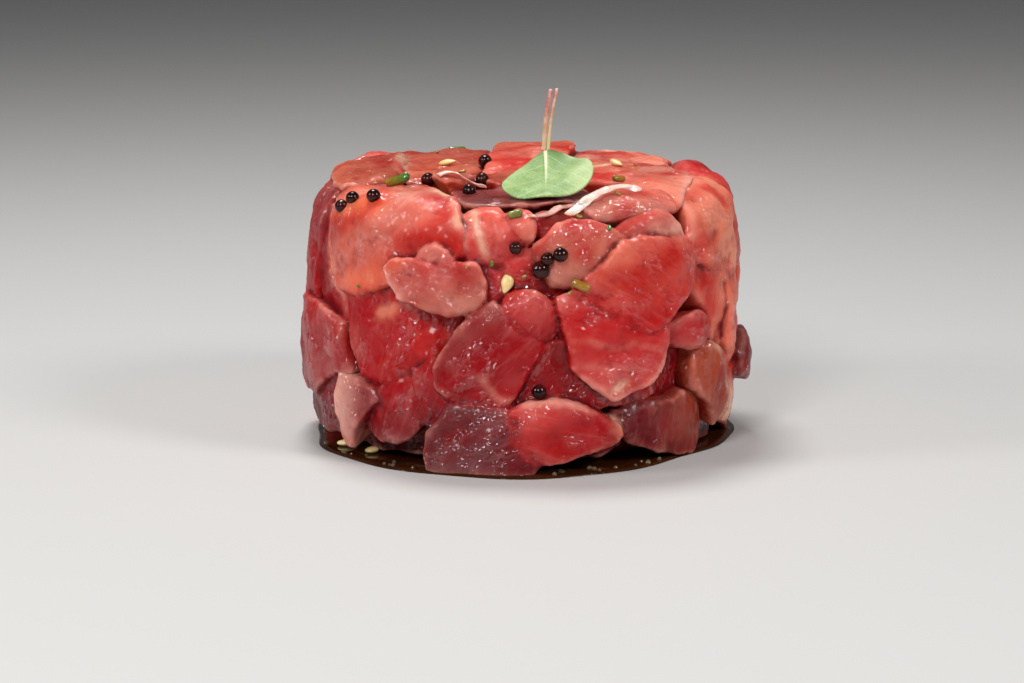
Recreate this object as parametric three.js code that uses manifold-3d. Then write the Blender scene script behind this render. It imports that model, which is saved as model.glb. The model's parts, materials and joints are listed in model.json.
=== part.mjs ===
// A ring-pressed portion of tuna tartare: hand-cut chunks of raw tuna packed into a short round drum,
// scattered with mustard seeds, sesame, chive and shallot, with one small leaf standing on top.
// Millimetres. The origin is the centre of the flat base, +Z is up and the front faces -Y.
import * as THREE from "three";
import { mergeVertices } from "three/addons/utils/BufferGeometryUtils.js";
import Module from "manifold-3d";

const wasm = await Module();
wasm.setup();

// The drum that the ring presses.
const drum = {
  radius: 36,
  height: 44,
  rim: 6.5,
  heart: 16, // height of the point that every chunk points to
  leanIn: 2.2, // how far the upper left side leans in
  leanCurve: [6, 3], // how fast that grows towards the left and upwards
};
const heartPoint = new THREE.Vector3(0, 0, drum.heart);
const halfTurn = Math.PI * drum.radius;

// How every chunk is built up, from its face inwards.
const chunkMake = {
  edge: 1.3, // how far the rounded edge lies behind the face
  faceInset: 1.2, // how far the flat of the face stays inside the outline
  middle: 0.45, // size of the inner ring of the face, as a share of the outline
  middleDome: 0.75, // share of the dome that the inner ring has
  rimDepth: 0.25, // how far the edge of the flat lies behind the face
  back: 0.8, // size of the buried end
  smallReach: 8.2, // chunks that reach less than this have no inner ring
  lumpHigh: 0.35, // relief on every face
};
// The packed middle.
const core = { radius: 31, height: 40.5, rim: 7, sides: 24, rings: 4 };

// Chunks on the wall.
// corners: [distance round the wall from the front, distance up the wall and over the rim]
// out: how far the face stands proud of the drum; thick: how deep the chunk goes;
// dome: how far the middle of the face bulges; lean: rise of the face per mm along and up the wall.
const wallChunks = {
  cornerBlock: {
    corners: [[-41.6, 39], [-44, 44], [-42.5, 51.5], [-36.5, 58.5], [-29, 57], [-21, 53.5],
      [-15.5, 49.5], [-11.8, 45], [-10.2, 40.5], [-10, 36], [-12.5, 33], [-20, 31], [-25, 29.5],
      [-31, 27.5], [-35.6, 28], [-39, 31], [-40.6, 35.5]],
    out: 0.1, thick: 13, dome: 0.3, lean: [0.02, -0.03],
  },
  lipSlice: {
    corners: [[-23.2, 32.3], [-21.5, 33.8], [-17.8, 34.2], [-14, 33.6], [-10.5, 34.4], [-7, 34.3],
      [-5.5, 31.5], [-5.5, 28.5], [-8, 26.3], [-11.5, 25.5], [-16, 26.3], [-20, 27.5], [-22.2, 30]],
    out: 1.9, thick: 5, dome: 0.5, lean: [-0.07, -0.08],
  },
  lipBump: {
    corners: [[-17.6, 33.6], [-16.2, 36], [-14, 37], [-12, 36.2], [-10.6, 34.4], [-10, 32.4],
      [-14, 31.8]],
    out: 1.4, thick: 4, dome: 0.5, lean: [0, 0],
  },
  ribbedWedge: {
    corners: [[-10.3, 44.5], [-8, 46], [-4, 45], [-1.5, 41.6], [0.3, 38.8], [-0.5, 36.5], [-3, 34.8],
      [-6.2, 34.4], [-9.5, 34], [-10.5, 37], [-10.7, 41]],
    out: -1, thick: 11, dome: 0.6, lean: [0.04, 0],
  },
  notchNub: {
    corners: [[-3.4, 43.2], [-0.5, 45], [1.8, 43.6], [2.6, 40.8], [1.9, 38.6], [0.4, 38.2],
      [-1.4, 40.4]],
    out: 0.1, thick: 9, dome: 0.6, lean: [0.05, 0],
  },
  paleShoulder: {
    corners: [[1.8, 37.6], [4.8, 39.6], [6.2, 41.2], [8.6, 42], [11.8, 41.5], [14.8, 40.6],
      [17, 38.2], [16.5, 36], [14, 33.5], [11, 31.8], [8, 30.8], [5, 30.8], [3, 34]],
    out: 0.4, thick: 12, dome: 0.8, lean: [0, -0.03],
  },
  paleSlab: {
    corners: [[15, 39.6], [17, 40.8], [20, 42], [23, 42.6], [25.7, 42.3], [28, 41.2], [30, 39.2],
      [29.8, 37], [26.5, 35.6], [20, 35.8], [16, 36.4]],
    out: 0.5, thick: 10, dome: 0.5, lean: [0, -0.04],
  },
  bigFace: {
    corners: [[13.5, 34], [16, 37], [20, 37.6], [25, 36.8], [28.5, 37.5], [31.2, 36.5], [32.3, 34],
      [32.2, 31.5], [30.7, 28.5], [27.3, 25.5], [25, 23.5], [21, 22], [17, 23.5], [12.5, 26.8],
      [9.5, 29.5], [10.5, 32]],
    out: 1.5, thick: 13, dome: 1.3, lean: [-0.03, -0.05],
  },
  hangingFlap: {
    corners: [[5.3, 29], [9.5, 30], [15, 27.8], [21, 24.8], [25.2, 23], [24.8, 19.5], [23.9, 17],
      [22, 14.8], [19.6, 13.4], [16.8, 12.6], [14.6, 11.9], [11.8, 13.9], [9.4, 15.6], [8.1, 17.2],
      [7.7, 20], [6.8, 23]],
    out: 1.9, thick: 6, dome: 0.4, lean: [0.02, -0.06],
  },
  roundLump: {
    corners: [[-3.4, 27], [-2.8, 29.4], [-1, 30.5], [2, 30.3], [4.8, 29], [6.6, 25.5], [7.2, 22.5],
      [4, 21.3], [1, 21.2], [-1.6, 22.7], [-3.1, 25]],
    out: -0.3, thick: 10, dome: 2.2, lean: [-0.08, 0.04],
  },
  wetHollow: {
    corners: [[-6, 35.2], [-3, 35.6], [0, 37.4], [2.4, 38], [4, 35], [6.5, 31.5], [8, 29], [3, 28.4],
      [-2.5, 28.8], [-5.5, 29]],
    out: -1.8, thick: 10, dome: 0.6, lean: [0, 0.05],
  },
  wetSaddle: {
    corners: [[-9.5, 35], [-6, 35.2], [-3, 33], [-2, 29.5], [-3, 25.5], [-6.5, 25.8], [-8, 30]],
    out: -1.4, thick: 9, dome: 0.6, lean: [0, 0],
  },
  redBlock: {
    corners: [[-34.2, 27.5], [-28, 29.2], [-22, 31], [-14, 29], [-10.5, 27], [-12, 22.8], [-15, 18.6],
      [-19, 15.5], [-23, 13.5], [-27, 13], [-30.5, 14.5], [-32.6, 18.5], [-33.7, 23]],
    out: -1.5, thick: 12, dome: 0.8, lean: [-0.14, -0.05],
  },
  slantBlock: {
    corners: [[-4.5, 28.5], [-8, 25.8], [-10.5, 22.8], [-12.5, 20.3], [-14, 17.5], [-13.9, 14],
      [-11, 11.8], [-7, 10.8], [-2.5, 11], [0, 14], [2, 18], [4, 21], [1, 23.5], [-2, 26]],
    out: 1.1, thick: 12, dome: 0.9, lean: [-0.09, 0.02],
  },
  wideSlab: {
    corners: [[0.5, 20], [4, 21.6], [8, 22], [12, 20], [18, 17], [23, 15], [25, 11.5], [21, 9.6],
      [12, 10], [7, 10.8], [0, 11], [-3.5, 11.4], [-1.6, 15]],
    out: -1.2, thick: 12, dome: 0.7, lean: [-0.04, 0.03],
  },
  toeLeft: {
    corners: [[-15.8, 3], [-15.6, 6], [-13.6, 8.7], [-11.5, 11.4], [-7, 11.6], [-2.4, 11], [0.6, 8.6],
      [3, 6], [4.4, 3.4], [2, 1], [-2, -0.6], [-8, -1], [-14, -0.8]],
    out: 2.1, thick: 13, dome: 0.7, lean: [0.04, -0.13],
  },
  toePoint: {
    corners: [[-2, 10.6], [1, 12], [5, 12.5], [9, 11.7], [13, 9.8], [16, 7.8], [17, 6], [14, 4.7],
      [9, 3.6], [4, 2.4], [1, 3.4], [-1.4, 6.6]],
    out: 2.2, thick: 11, dome: 0.6, lean: [-0.05, -0.08],
  },
  toeUnder: {
    corners: [[-3, 6], [4, 5], [12, 5], [19, 5], [20, 1], [14, -0.8], [4, -1], [-4, 0]],
    out: -4.6, thick: 8, dome: 0.3, lean: [0, 0],
  },
  footRight: {
    corners: [[16, 6], [16.6, 8.8], [21, 9.9], [28, 10.2], [31, 10.9], [34, 10.5], [36.8, 8.2],
      [38.2, 4.6], [37.6, 1], [34.5, -0.5], [30.5, 0], [25, 1.2], [19.6, 3]],
    out: -1.3, thick: 12, dome: 0.8, lean: [0, 0.02],
  },
  knob: {
    corners: [[25.4, 22.4], [28, 23.8], [31, 24.6], [33.5, 24.9], [36.5, 23.6], [38.6, 21],
      [38.2, 18.4], [34, 17.9], [30, 18.5], [26, 19.6]],
    out: 0.2, thick: 10, dome: 1.4, lean: [0, 0.04],
  },
  shadedRecess: {
    corners: [[23, 21], [30, 19.5], [34, 18.6], [35, 14], [34.5, 10], [28, 9], [22, 9], [19, 12],
      [22, 16]],
    out: -3.8, thick: 9, dome: 0.3, lean: [0, 0.05],
  },
  amberPost: {
    corners: [[33.4, 18.2], [38, 18.4], [41.4, 17.6], [44.4, 14.5], [46, 10.5], [45.6, 6.5],
      [43, 4.2], [39.6, 3.8], [37.6, 6.8], [35.6, 9.6], [33, 11], [32.5, 14.5]],
    out: 0.1, thick: 11, dome: 0.9, lean: [0.02, 0],
  },
  amberFoot: {
    corners: [[44.5, 16], [49, 13.5], [54, 10], [55, 6], [50, 3.6], [44.5, 3.2], [41.6, 4.4], [44, 7],
      [45.4, 11.5]],
    out: -0.2, thick: 12, dome: 0.9, lean: [0, 0.03],
  },
  stripeInner: {
    corners: [[31.6, 29.4], [33.4, 32.6], [36.4, 33.6], [40, 31.4], [43, 28.5], [44.4, 23],
      [44.4, 17.5], [41.4, 16.8], [38.8, 20.4], [37, 23.8], [34, 25.4]],
    out: -0.3, thick: 11, dome: 0.9, lean: [0.02, 0],
  },
  stripeOuter: {
    corners: [[40, 32.4], [45, 31.4], [49.6, 28], [51, 21], [50, 14.5], [46, 13.6], [44, 17],
      [44, 23], [42.6, 28]],
    out: 0.6, thick: 11, dome: 0.8, lean: [0.01, 0],
  },
  orangeCorner: {
    corners: [[31.8, 39.5], [33, 43], [37, 46.5], [45, 49], [55, 50.5], [62, 50], [66, 46], [66, 40],
      [61, 34], [53, 30], [46.5, 27.2], [42, 28], [38.5, 30.3], [33, 33.4], [31.2, 36.4]],
    out: -0.3, thick: 14, dome: 0.7, lean: [0, -0.07],
  },
  edgeTab: {
    corners: [[50, 33], [55, 36.4], [60, 35], [61, 27], [58, 20.4], [52.6, 18.8], [50, 22], [49, 28]],
    out: 0, thick: 10, dome: 0.6, lean: [0, 0],
  },
  edgeBump: {
    corners: [[49.8, 15], [54, 18], [60, 17.6], [63, 14.6], [60.6, 11], [54.6, 9.4], [50, 11]],
    out: 2.2, thick: 11, dome: 0.8, lean: [0, -0.08],
  },
  crimsonStrip: {
    corners: [[-47.5, 40], [-42.6, 42], [-40.6, 36], [-38.4, 29.6], [-34.6, 27.4], [-33.6, 22.8],
      [-38, 22], [-43.4, 25], [-47.6, 32]],
    out: -0.8, thick: 11, dome: 0.6, lean: [0.03, 0],
  },
  leftShoulder: {
    corners: [[-62, 38], [-57, 44], [-51, 47.5], [-45, 45], [-44.6, 38], [-46, 31], [-45, 25],
      [-50, 21.6], [-58, 23], [-63, 30]],
    out: 0.1, thick: 12, dome: 0.7, lean: [-0.04, -0.04],
  },
  leftBelly: {
    corners: [[-33.8, 22.6], [-32.8, 18], [-31.4, 14], [-36, 13.8], [-39, 12], [-43, 9], [-49, 10],
      [-56, 12.6], [-60, 19], [-56, 24.4], [-48, 24.6], [-41, 24.6]],
    out: 1.0, thick: 12, dome: 0.9, lean: [-0.01, 0.02],
  },
  tongue: {
    corners: [[-34.6, 14.2], [-30, 13.8], [-26.4, 12.5], [-24.8, 10.5], [-27.4, 8.3], [-29.3, 6],
      [-30.1, 4], [-30.8, 2], [-32.6, 1.9], [-34.4, 4.5], [-36, 7.5], [-35.7, 11]],
    out: 1.1, thick: 5.5, dome: 0.7, lean: [0, 0.03],
  },
  leftFoot: {
    corners: [[-56, 12], [-50, 12.6], [-43, 12], [-38.6, 13.6], [-34.6, 13], [-33, 8], [-34.4, 3.6],
      [-38, 2.4], [-46, 2.2], [-54, 2.6], [-57, 6]],
    out: -0.8, thick: 11, dome: 0.7, lean: [0, 0.09],
  },
  raggedFoot: {
    corners: [[-29.2, 4.6], [-26.4, 3], [-22.5, 3.2], [-19.5, 4], [-17.3, 6.4], [-16, 9.5],
      [-16.6, 13], [-20, 15], [-24.5, 14], [-27, 11.4], [-29.4, 8]],
    out: -0.8, thick: 10, dome: 0.7, lean: [0.02, -0.03],
  },
  footHollow: {
    corners: [[-52, 6], [-44, 8], [-34, 8], [-28, 8.5], [-22, 6], [-15, 7], [-13, 3], [-14, -0.8],
      [-24, -1], [-38, -1], [-50, -0.8]],
    out: -5, thick: 9, dome: 0.3, lean: [0, 0],
  },
  footShade: {
    corners: [[36, 5], [44, 6.5], [56, 6.5], [60, 2], [54, -0.8], [44, -1], [37, -0.8]],
    out: -4, thick: 8, dome: 0.3, lean: [0, 0],
  },
  sunkenFloor: {
    corners: [[1, 43], [3, 46.5], [9, 47], [13, 44], [9.6, 40], [4, 39]],
    out: -3, thick: 8, dome: 0.2, lean: [0, 0],
  },
  midWedge: {
    corners: [[-19.5, 15.6], [-15, 18.8], [-13, 17], [-12.6, 12.6], [-11.4, 10.4], [-14, 7.6],
      [-16.4, 6.2], [-18, 8.5], [-18.4, 12]],
    out: -0.7, thick: 10, dome: 0.6, lean: [0.02, 0],
  },
};

// Chunks laid on top. Their corners are [x, y] measured along the skin, so the outer ones
// bend over the rim.
const topChunks = {
  leftSlab: {
    corners: [[-32.5, -6], [-33.5, 5], [-31, 17], [-25, 25], [-20.5, 23], [-19.5, 12], [-20, 0],
      [-23, -9], [-27.5, -12.5], [-31, -11.5]],
    out: 0.9, thick: 10, dome: 0.6, lean: [0.05, 0.02],
  },
  backLeft: {
    corners: [[-20, 13], [-21.5, 24], [-15, 31], [-8, 34], [-5, 28], [-5, 14], [-8, 3], [-13, -5],
      [-20, -4]],
    out: 0.4, thick: 10, dome: 0.7, lean: [0, 0.02],
  },
  backCentre: {
    corners: [[-4, 31], [0, 35], [7.5, 35], [9, 31], [9, 22], [7, 8], [4, -4], [-2, -6], [-7, 0],
      [-5, 14]],
    out: 1.2, thick: 11, dome: 1.4, lean: [0.03, 0.045],
  },
  backRight: {
    corners: [[9, 34.6], [19, 30.5], [27, 23.5], [25, 14], [17, 11], [8, 14]],
    out: 0.3, thick: 10, dome: 0.6, lean: [0, 0.02],
  },
  rightWedge: {
    corners: [[5.5, 17], [12, 16], [20, 13], [21, 3], [16, -8], [9, -9], [4, 0]],
    out: 0.2, thick: 10, dome: 0.5, lean: [0, 0],
  },
  rightSlab: {
    corners: [[19, 13], [26, 16], [28.6, 5], [28.8, -5], [28, -15], [26.8, -23], [22, -23.5],
      [16, -14], [15.5, -5]],
    out: -0.1, thick: 11, dome: 0.6, lean: [-0.05, 0],
  },
  wetRidge: {
    corners: [[8.5, -31.5], [11.5, -26], [15, -20.5], [19, -17.5], [23, -19.5], [26, -24],
      [22.5, -28.5], [17, -31.5], [12.5, -33.6]],
    out: 0.2, thick: 9, dome: 0.8, lean: [0, 0],
  },
  darkSlab: {
    corners: [[-12.5, -11], [-5, -9.5], [4, -8], [11, -12], [12.5, -18], [9, -25], [2, -30],
      [-5, -31.5], [-9.5, -29.5], [-11.3, -21]],
    out: -1.1, thick: 10, dome: 0.3, lean: [0, 0],
  },
  paleNub: {
    corners: [[-14.5, -8], [-12.5, -4], [-9, -4], [-7.5, -8], [-9, -12.5], [-12.6, -13]],
    out: 0.9, thick: 8, dome: 0.8, lean: [0, 0],
  },
  middleCrumb: {
    corners: [[-9, -4], [-4, 2], [4, 3], [8, -5], [5, -12], [-4, -12]],
    out: 0, thick: 10, dome: 0.7, lean: [0, 0],
  },
};

// Chunks round the back, drawn by a rule with a fixed seed.
const backRule = {
  seed: 20577,
  from: 60, // distance round the wall where the first column stands
  to: 2 * halfTurn - 62,
  columns: 6,
  courses: [4.5, 15.5, 27, 39.5], // heights
  halfWide: 11,
  halfHigh: 7.6,
  corners: 8,
  thick: 11,
  lowest: -0.9,
  spreads: {
    along: 2,
    up: 1.2,
    size: [0.86, 1.2],
    tilt: 0.45,
    angle: 0.3,
    reach: [0.86, 1.12],
    out: [-1.3, 1.2],
    dome: [0.4, 1.4],
    lean: 0.08,
  },
};

// What is scattered over it: mustard seeds, sesame, chive rings and shallot strips.
// Each lift is a share of the thing's own size by which its middle stands over the tuna.
const mustard = {
  radius: 1.15,
  big: 1.5,
  lift: 0.35,
  wall: [[-36.6, 41.2], [-35.3, 43.2], [-29.2, 44.2], [-0.9, 37.2], [4.1, 35], [6.1, 35.4], [2.9, 13.5]],
  top: [[-17.6, -5.4], [-15.7, -5.4], [-8.6, -18.4], [-5.8, 7.4], [-6.4, -7.8]],
  back: [[78, 33], [92, 41.5], [110, 23], [128, 36], [141, 15]],
  bigAt: [3.1, 33.4],
};
const sesame = {
  long: 3.1,
  wide: 2.1,
  thick: 1.1,
  lift: 0.15,
  wall: [[-2.4, 31.7, -1.7], [84, 26, 2.1], [119, 40.6, 0.9]], // distance round, distance up, turn
  top: [[-12.2, 6.8, -0.5], [15.6, 5, -1.1]],
};
const chiveMake = { lift: 0.3, sides: 6 };
const chives = [
  { on: "top", at: [-20.2, -11.5], turn: -0.15, long: 4.6, radius: 0.8 },
  { on: "wall", at: [-1.1, 42.4], turn: 0.15, long: 2.6, radius: 0.65 },
  { on: "top", at: [15.8, -11], turn: 0.5, long: 2.4, radius: 0.55 },
  { on: "wall", at: [9.3, 30.4], turn: -0.45, long: 3.4, radius: 0.75 },
  { on: "top", at: [-11, 31], turn: 0.2, long: 3.4, radius: 0.7 },
  { on: "wall", at: [104, 33], turn: 0.8, long: 3.4, radius: 0.75 },
  { on: "wall", at: [132, 21], turn: -0.5, long: 3, radius: 0.7 },
];
const shallotMake = { lift: 0.25, steps: 6 };
const shallots = [
  {
    route: [[7.4, -34.6], [9.2, -32.2], [11, -29.8], [13.5, -26.4], [16, -24.6], [18.6, -26]],
    wide: 2.3,
    thick: 1,
  },
  { route: [[0.8, -36], [3.4, -34], [6, -31], [8.4, -27.4], [10.6, -23.6]], wide: 2, thick: 0.9 },
  {
    route: [[-13.6, -11.4], [-11.8, -10.4], [-9.6, -11.6], [-7.2, -14], [-5.6, -16.4]],
    wide: 1.8,
    thick: 0.8,
  },
];

// The leaf: a broad blade whose lower half lies on the top, on two thin stems that stand up.
const leaf = {
  base: new THREE.Vector3(4.05, -9.5, 49.8), // where the stems meet the blade
  outline: [[0, 0], [1.3, 1.3], [3.7, 2.5], [6.3, 4.3], [7.7, 6.5], [8, 9.2], [7.2, 12.8], [5.2, 15.9],
    [2.5, 17.5], [-0.8, 18.2], [-4.2, 18], [-6.8, 16.8], [-7.6, 15], [-5.9, 11.1], [-3.3, 6.7], [-1.3, 3]],
  middle: [0.2, 10],
  slope: 0.325, // fall per mm of length
  wave: 0.3,
  waveStart: 4, // length over which the waves grow from nothing
  rimShare: 0.5, // thickness of the rim, as a share of the middle's
  cup: 0.008, // how much the sides curl up
  thick: 0.5,
  rings: 5,
  gap: 0.35, // air kept between the blade and the tuna
};
const stems = [
  { foot: [-0.25, 0, -0.4], top: [0.9, 0.5, 9.7], radius: 0.42 },
  { foot: [0.45, 0, -0.4], top: [1.9, 0.7, 9.8], radius: 0.32 },
];
const stemMake = { sides: 8, steps: 7, bow: [-0.2, 0.3, 0] };

const weldReach = 1e-4; // points closer than this become one

// A repeatable draw from 0 to 1.
function dice(seed) {
  let state = seed;
  return () => {
    state = (Math.imul(state, 1664525) + 1013904223) >>> 0;
    return state / 2 ** 32;
  };
}

// The wall's outline: t runs up the side, round the rim and inwards over the top.
const rimStart = drum.height - drum.rim;
const topStart = rimStart + (drum.rim * Math.PI) / 2;
const topRadius = drum.radius - drum.rim;
function meridian(t) {
  if (t < rimStart) return [drum.radius, t];
  if (t > topStart) return [topRadius - (t - topStart), drum.height];
  const a = (t - rimStart) / drum.rim;
  return [topRadius + drum.rim * Math.cos(a), rimStart + drum.rim * Math.sin(a)];
}

// The point of the drum's skin at a distance round the wall and a distance up it.
function onWall([s, t]) {
  const [r, z] = meridian(t);
  const a = s / drum.radius;
  const x = r * Math.sin(a);
  const [sideways, upwards] = drum.leanCurve;
  const share = Math.max(0, -x / drum.radius) ** sideways * Math.max(0, z / drum.height) ** upwards;
  return new THREE.Vector3(x + drum.leanIn * share, -r * Math.cos(a), z);
}

// The same for a place on top, measured along the skin from the middle.
function onTop([x, y]) {
  return onWall([drum.radius * Math.atan2(x, -y), topStart + topRadius - Math.hypot(x, y)]);
}

const inwardsFrom = (skin) => heartPoint.clone().sub(skin).normalize();

// Moves a point of the drum's skin inwards, towards the heart.
const sink = (skin, depth) => skin.clone().addScaledVector(inwardsFrom(skin), depth);

// Low soft relief, different on every chunk.
const lump = (a, b, phase) =>
  Math.sin(0.62 * a + 0.31 * b + phase) * 0.6 + Math.sin(0.83 * b - 0.47 * a + 1.7 * phase) * 0.4;

function middleOf(corners) {
  const sum = corners.reduce(([a, b], [p, q]) => [a + p, b + q], [0, 0]);
  return sum.map((v) => v / corners.length);
}

// A closed solid from rings of points with the same count, capped by a point at either end.
function ringSolid(first, rings, last) {
  const n = rings[0].length;
  const points = [first, ...rings.flat(), last];
  const faces = [];
  const at = (ring, i) => 1 + ring * n + (i % n);
  for (let i = 0; i < n; i++) {
    faces.push([0, at(0, i), at(0, i + 1)]);
    for (let r = 0; r + 1 < rings.length; r++) {
      faces.push([at(r, i), at(r + 1, i), at(r + 1, i + 1)]);
      faces.push([at(r, i), at(r + 1, i + 1), at(r, i + 1)]);
    }
    faces.push([at(rings.length - 1, i + 1), at(rings.length - 1, i), points.length - 1]);
  }
  return solidOf(points, faces);
}

// A solid from points and triangles, turned right side out.
function solidOf(points, faces) {
  const made = new wasm.Manifold(
    new wasm.Mesh({
      numProp: 3,
      vertProperties: new Float32Array(points.flatMap((p) => [p.x, p.y, p.z])),
      triVerts: new Uint32Array(faces.flat()),
    }),
  );
  if (made.volume() > 0) return made;
  return solidOf(points, faces.map(([a, b, c]) => [a, c, b]));
}

function solidOfGeometry(geometry) {
  const bare = geometry.clone();
  bare.deleteAttribute("normal");
  bare.deleteAttribute("uv");
  const merged = mergeVertices(bare, weldReach);
  const place = merged.getAttribute("position");
  const points = [];
  for (let i = 0; i < place.count; i++) points.push(new THREE.Vector3().fromBufferAttribute(place, i));
  const faces = [];
  const corner = merged.index.array;
  for (let i = 0; i < corner.length; i += 3) faces.push([...corner.slice(i, i + 3)]);
  return solidOf(points, faces);
}

function geometryOf(solid) {
  const mesh = solid.getMesh();
  const places = new Float32Array(mesh.numVert * 3);
  for (let i = 0; i < mesh.numVert; i++) {
    places.set(mesh.vertProperties.subarray(i * mesh.numProp, i * mesh.numProp + 3), i * 3);
  }
  const geometry = new THREE.BufferGeometry();
  geometry.setAttribute("position", new THREE.BufferAttribute(places, 3));
  geometry.setIndex(new THREE.BufferAttribute(mesh.triVerts, 1));
  return geometry;
}

// One chunk of tuna: a domed, softly lumpy face with a rounded edge and a tapered end buried in the heap.
function chunkSolid(chunk, skinAt, phase) {
  const [a0, b0] = middleOf(chunk.corners);
  const [leanAlong, leanUp] = chunk.lean;
  const squares = chunk.corners.reduce((sum, [a, b]) => sum + (a - a0) ** 2 + (b - b0) ** 2, 0);
  const reach = Math.sqrt(squares / chunk.corners.length);
  const ring = (share, depth, dome = 0) =>
    chunk.corners.map(([a, b]) => {
      const p = a0 + (a - a0) * share;
      const q = b0 + (b - b0) * share;
      const rise = leanAlong * (p - a0) + leanUp * (q - b0) + chunkMake.lumpHigh * lump(p, q, phase);
      return sink(skinAt([p, q]), depth - chunk.out - rise - dome);
    });
  const faceShare = 1 - chunkMake.faceInset / reach;
  const middle = skinAt([a0, b0]);
  const centreRise = chunk.out + chunkMake.lumpHigh * lump(a0, b0, phase);
  const rings = [
    ring(faceShare, chunkMake.rimDepth),
    ring(1, chunkMake.edge),
    ring(chunkMake.back, chunk.thick),
  ];
  if (reach > chunkMake.smallReach) {
    rings.unshift(ring(chunkMake.middle, 0, chunk.dome * chunkMake.middleDome));
  }
  return ringSolid(
    sink(middle, -centreRise - chunk.dome),
    rings,
    sink(middle, chunk.thick - centreRise),
  );
}

// The chunks round the back: columns and courses of rough outlines, each of its own size and tilt.
function backChunks() {
  const roll = dice(backRule.seed);
  const spread = (low, high) => low + (high - low) * roll();
  const around = (reach) => spread(-reach, reach);
  const { spreads } = backRule;
  // Odd courses are half a step along.
  const pitch = (backRule.to - backRule.from) / (backRule.columns - 0.5);
  const made = [];
  backRule.courses.forEach((height, course) => {
    for (let column = 0; column < backRule.columns; column++) {
      const s0 = backRule.from + pitch * (column + (course % 2) / 2) + around(spreads.along);
      const t0 = height + around(spreads.up);
      const size = spread(...spreads.size);
      const tilt = around(spreads.tilt);
      const corners = [];
      for (let i = 0; i < backRule.corners; i++) {
        const angle = ((i + around(spreads.angle)) / backRule.corners) * 2 * Math.PI;
        const reach = size * spread(...spreads.reach);
        const a = reach * backRule.halfWide * Math.cos(angle);
        const b = reach * backRule.halfHigh * Math.sin(angle);
        const s = s0 + a * Math.cos(tilt) - b * Math.sin(tilt);
        const t = t0 + a * Math.sin(tilt) + b * Math.cos(tilt);
        corners.push([s, Math.max(backRule.lowest, t)]);
      }
      made.push({
        corners,
        out: spread(...spreads.out),
        thick: backRule.thick,
        dome: spread(...spreads.dome),
        lean: [around(spreads.lean), around(spreads.lean)],
      });
    }
  });
  return made;
}

// The packed middle, which shows only as darkness in the gaps.
function coreSolid() {
  const profile = [new THREE.Vector2(0, 0), new THREE.Vector2(core.radius, 0)];
  for (let i = 0; i <= core.rings; i++) {
    const a = ((i / core.rings) * Math.PI) / 2;
    const r = core.radius - core.rim * (1 - Math.cos(a));
    const z = core.height - core.rim * (1 - Math.sin(a));
    profile.push(new THREE.Vector2(r, z));
  }
  profile.push(new THREE.Vector2(0, core.height));
  return solidOfGeometry(new THREE.LatheGeometry(profile, core.sides).rotateX(Math.PI / 2));
}

const rayStart = 20; // how far outside the skin each search begins
const upwards = new THREE.Vector3(0, 0, 1);

// Finds the heap's surface below a point of the drum's skin, looking towards the heart.
function surfaceFinder(solid) {
  const mesh = new THREE.Mesh(geometryOf(solid), new THREE.MeshBasicMaterial({ side: THREE.DoubleSide }));
  const ray = new THREE.Raycaster();
  return (skin, inwards) => {
    ray.set(skin.clone().addScaledVector(inwards, -rayStart), inwards);
    return ray.intersectObject(mesh)[0].point;
  };
}

// A small solid pressed into the surface at a place on the wall or top: its own Z looks outwards.
function settle(geometry, skin, find, lift, turn = 0) {
  const inwards = inwardsFrom(skin);
  const place = find(skin, inwards).addScaledVector(inwards, -lift);
  const facing = new THREE.Quaternion().setFromUnitVectors(upwards, inwards.clone().negate());
  const spin = new THREE.Quaternion().setFromAxisAngle(upwards, turn);
  const matrix = new THREE.Matrix4().compose(place, facing.multiply(spin), new THREE.Vector3(1, 1, 1));
  return solidOfGeometry(geometry.clone().applyMatrix4(matrix));
}

const mustardGeometry = (radius) => new THREE.OctahedronGeometry(radius, 1);
const sesameGeometry = new THREE.OctahedronGeometry(0.5, 1).scale(sesame.long, sesame.wide, sesame.thick);
const chiveGeometry = ({ radius, long }) =>
  new THREE.CylinderGeometry(radius, radius, long, chiveMake.sides).rotateZ(Math.PI / 2);

// A strip of shallot: a flat section drawn along a curve that lies on the top.
function shallotSolid(strip, find) {
  const route = strip.route.map((place) => {
    const skin = onTop(place);
    return find(skin, inwardsFrom(skin)).addScaledVector(upwards, strip.thick * shallotMake.lift);
  });
  const half = strip.wide / 2;
  const section = new THREE.Shape();
  section.moveTo(-strip.thick / 2, -half);
  section.lineTo(strip.thick / 2, -half);
  section.lineTo(strip.thick / 2, half);
  section.lineTo(-strip.thick / 2, half);
  section.closePath();
  const extrudePath = new THREE.CatmullRomCurve3(route);
  const options = { steps: shallotMake.steps, extrudePath, bevelEnabled: false };
  return solidOfGeometry(new THREE.ExtrudeGeometry(section, options));
}

function toppings(find) {
  const seed = (skin, radius) => settle(mustardGeometry(radius), skin, find, radius * mustard.lift);
  const grain = ([a, b, turn], skinAt) =>
    settle(sesameGeometry, skinAt([a, b]), find, sesame.thick * sesame.lift, turn);
  return [
    ...[...mustard.wall, ...mustard.back].map((place) => seed(onWall(place), mustard.radius)),
    ...mustard.top.map((place) => seed(onTop(place), mustard.radius)),
    seed(onWall(mustard.bigAt), mustard.big),
    ...sesame.wall.map((place) => grain(place, onWall)),
    ...sesame.top.map((place) => grain(place, onTop)),
    ...chives.map((bit) => {
      const skin = (bit.on === "top" ? onTop : onWall)(bit.at);
      return settle(chiveGeometry(bit), skin, find, bit.radius * chiveMake.lift, bit.turn);
    }),
    ...shallots.map((strip) => shallotSolid(strip, find)),
  ];
}

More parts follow.
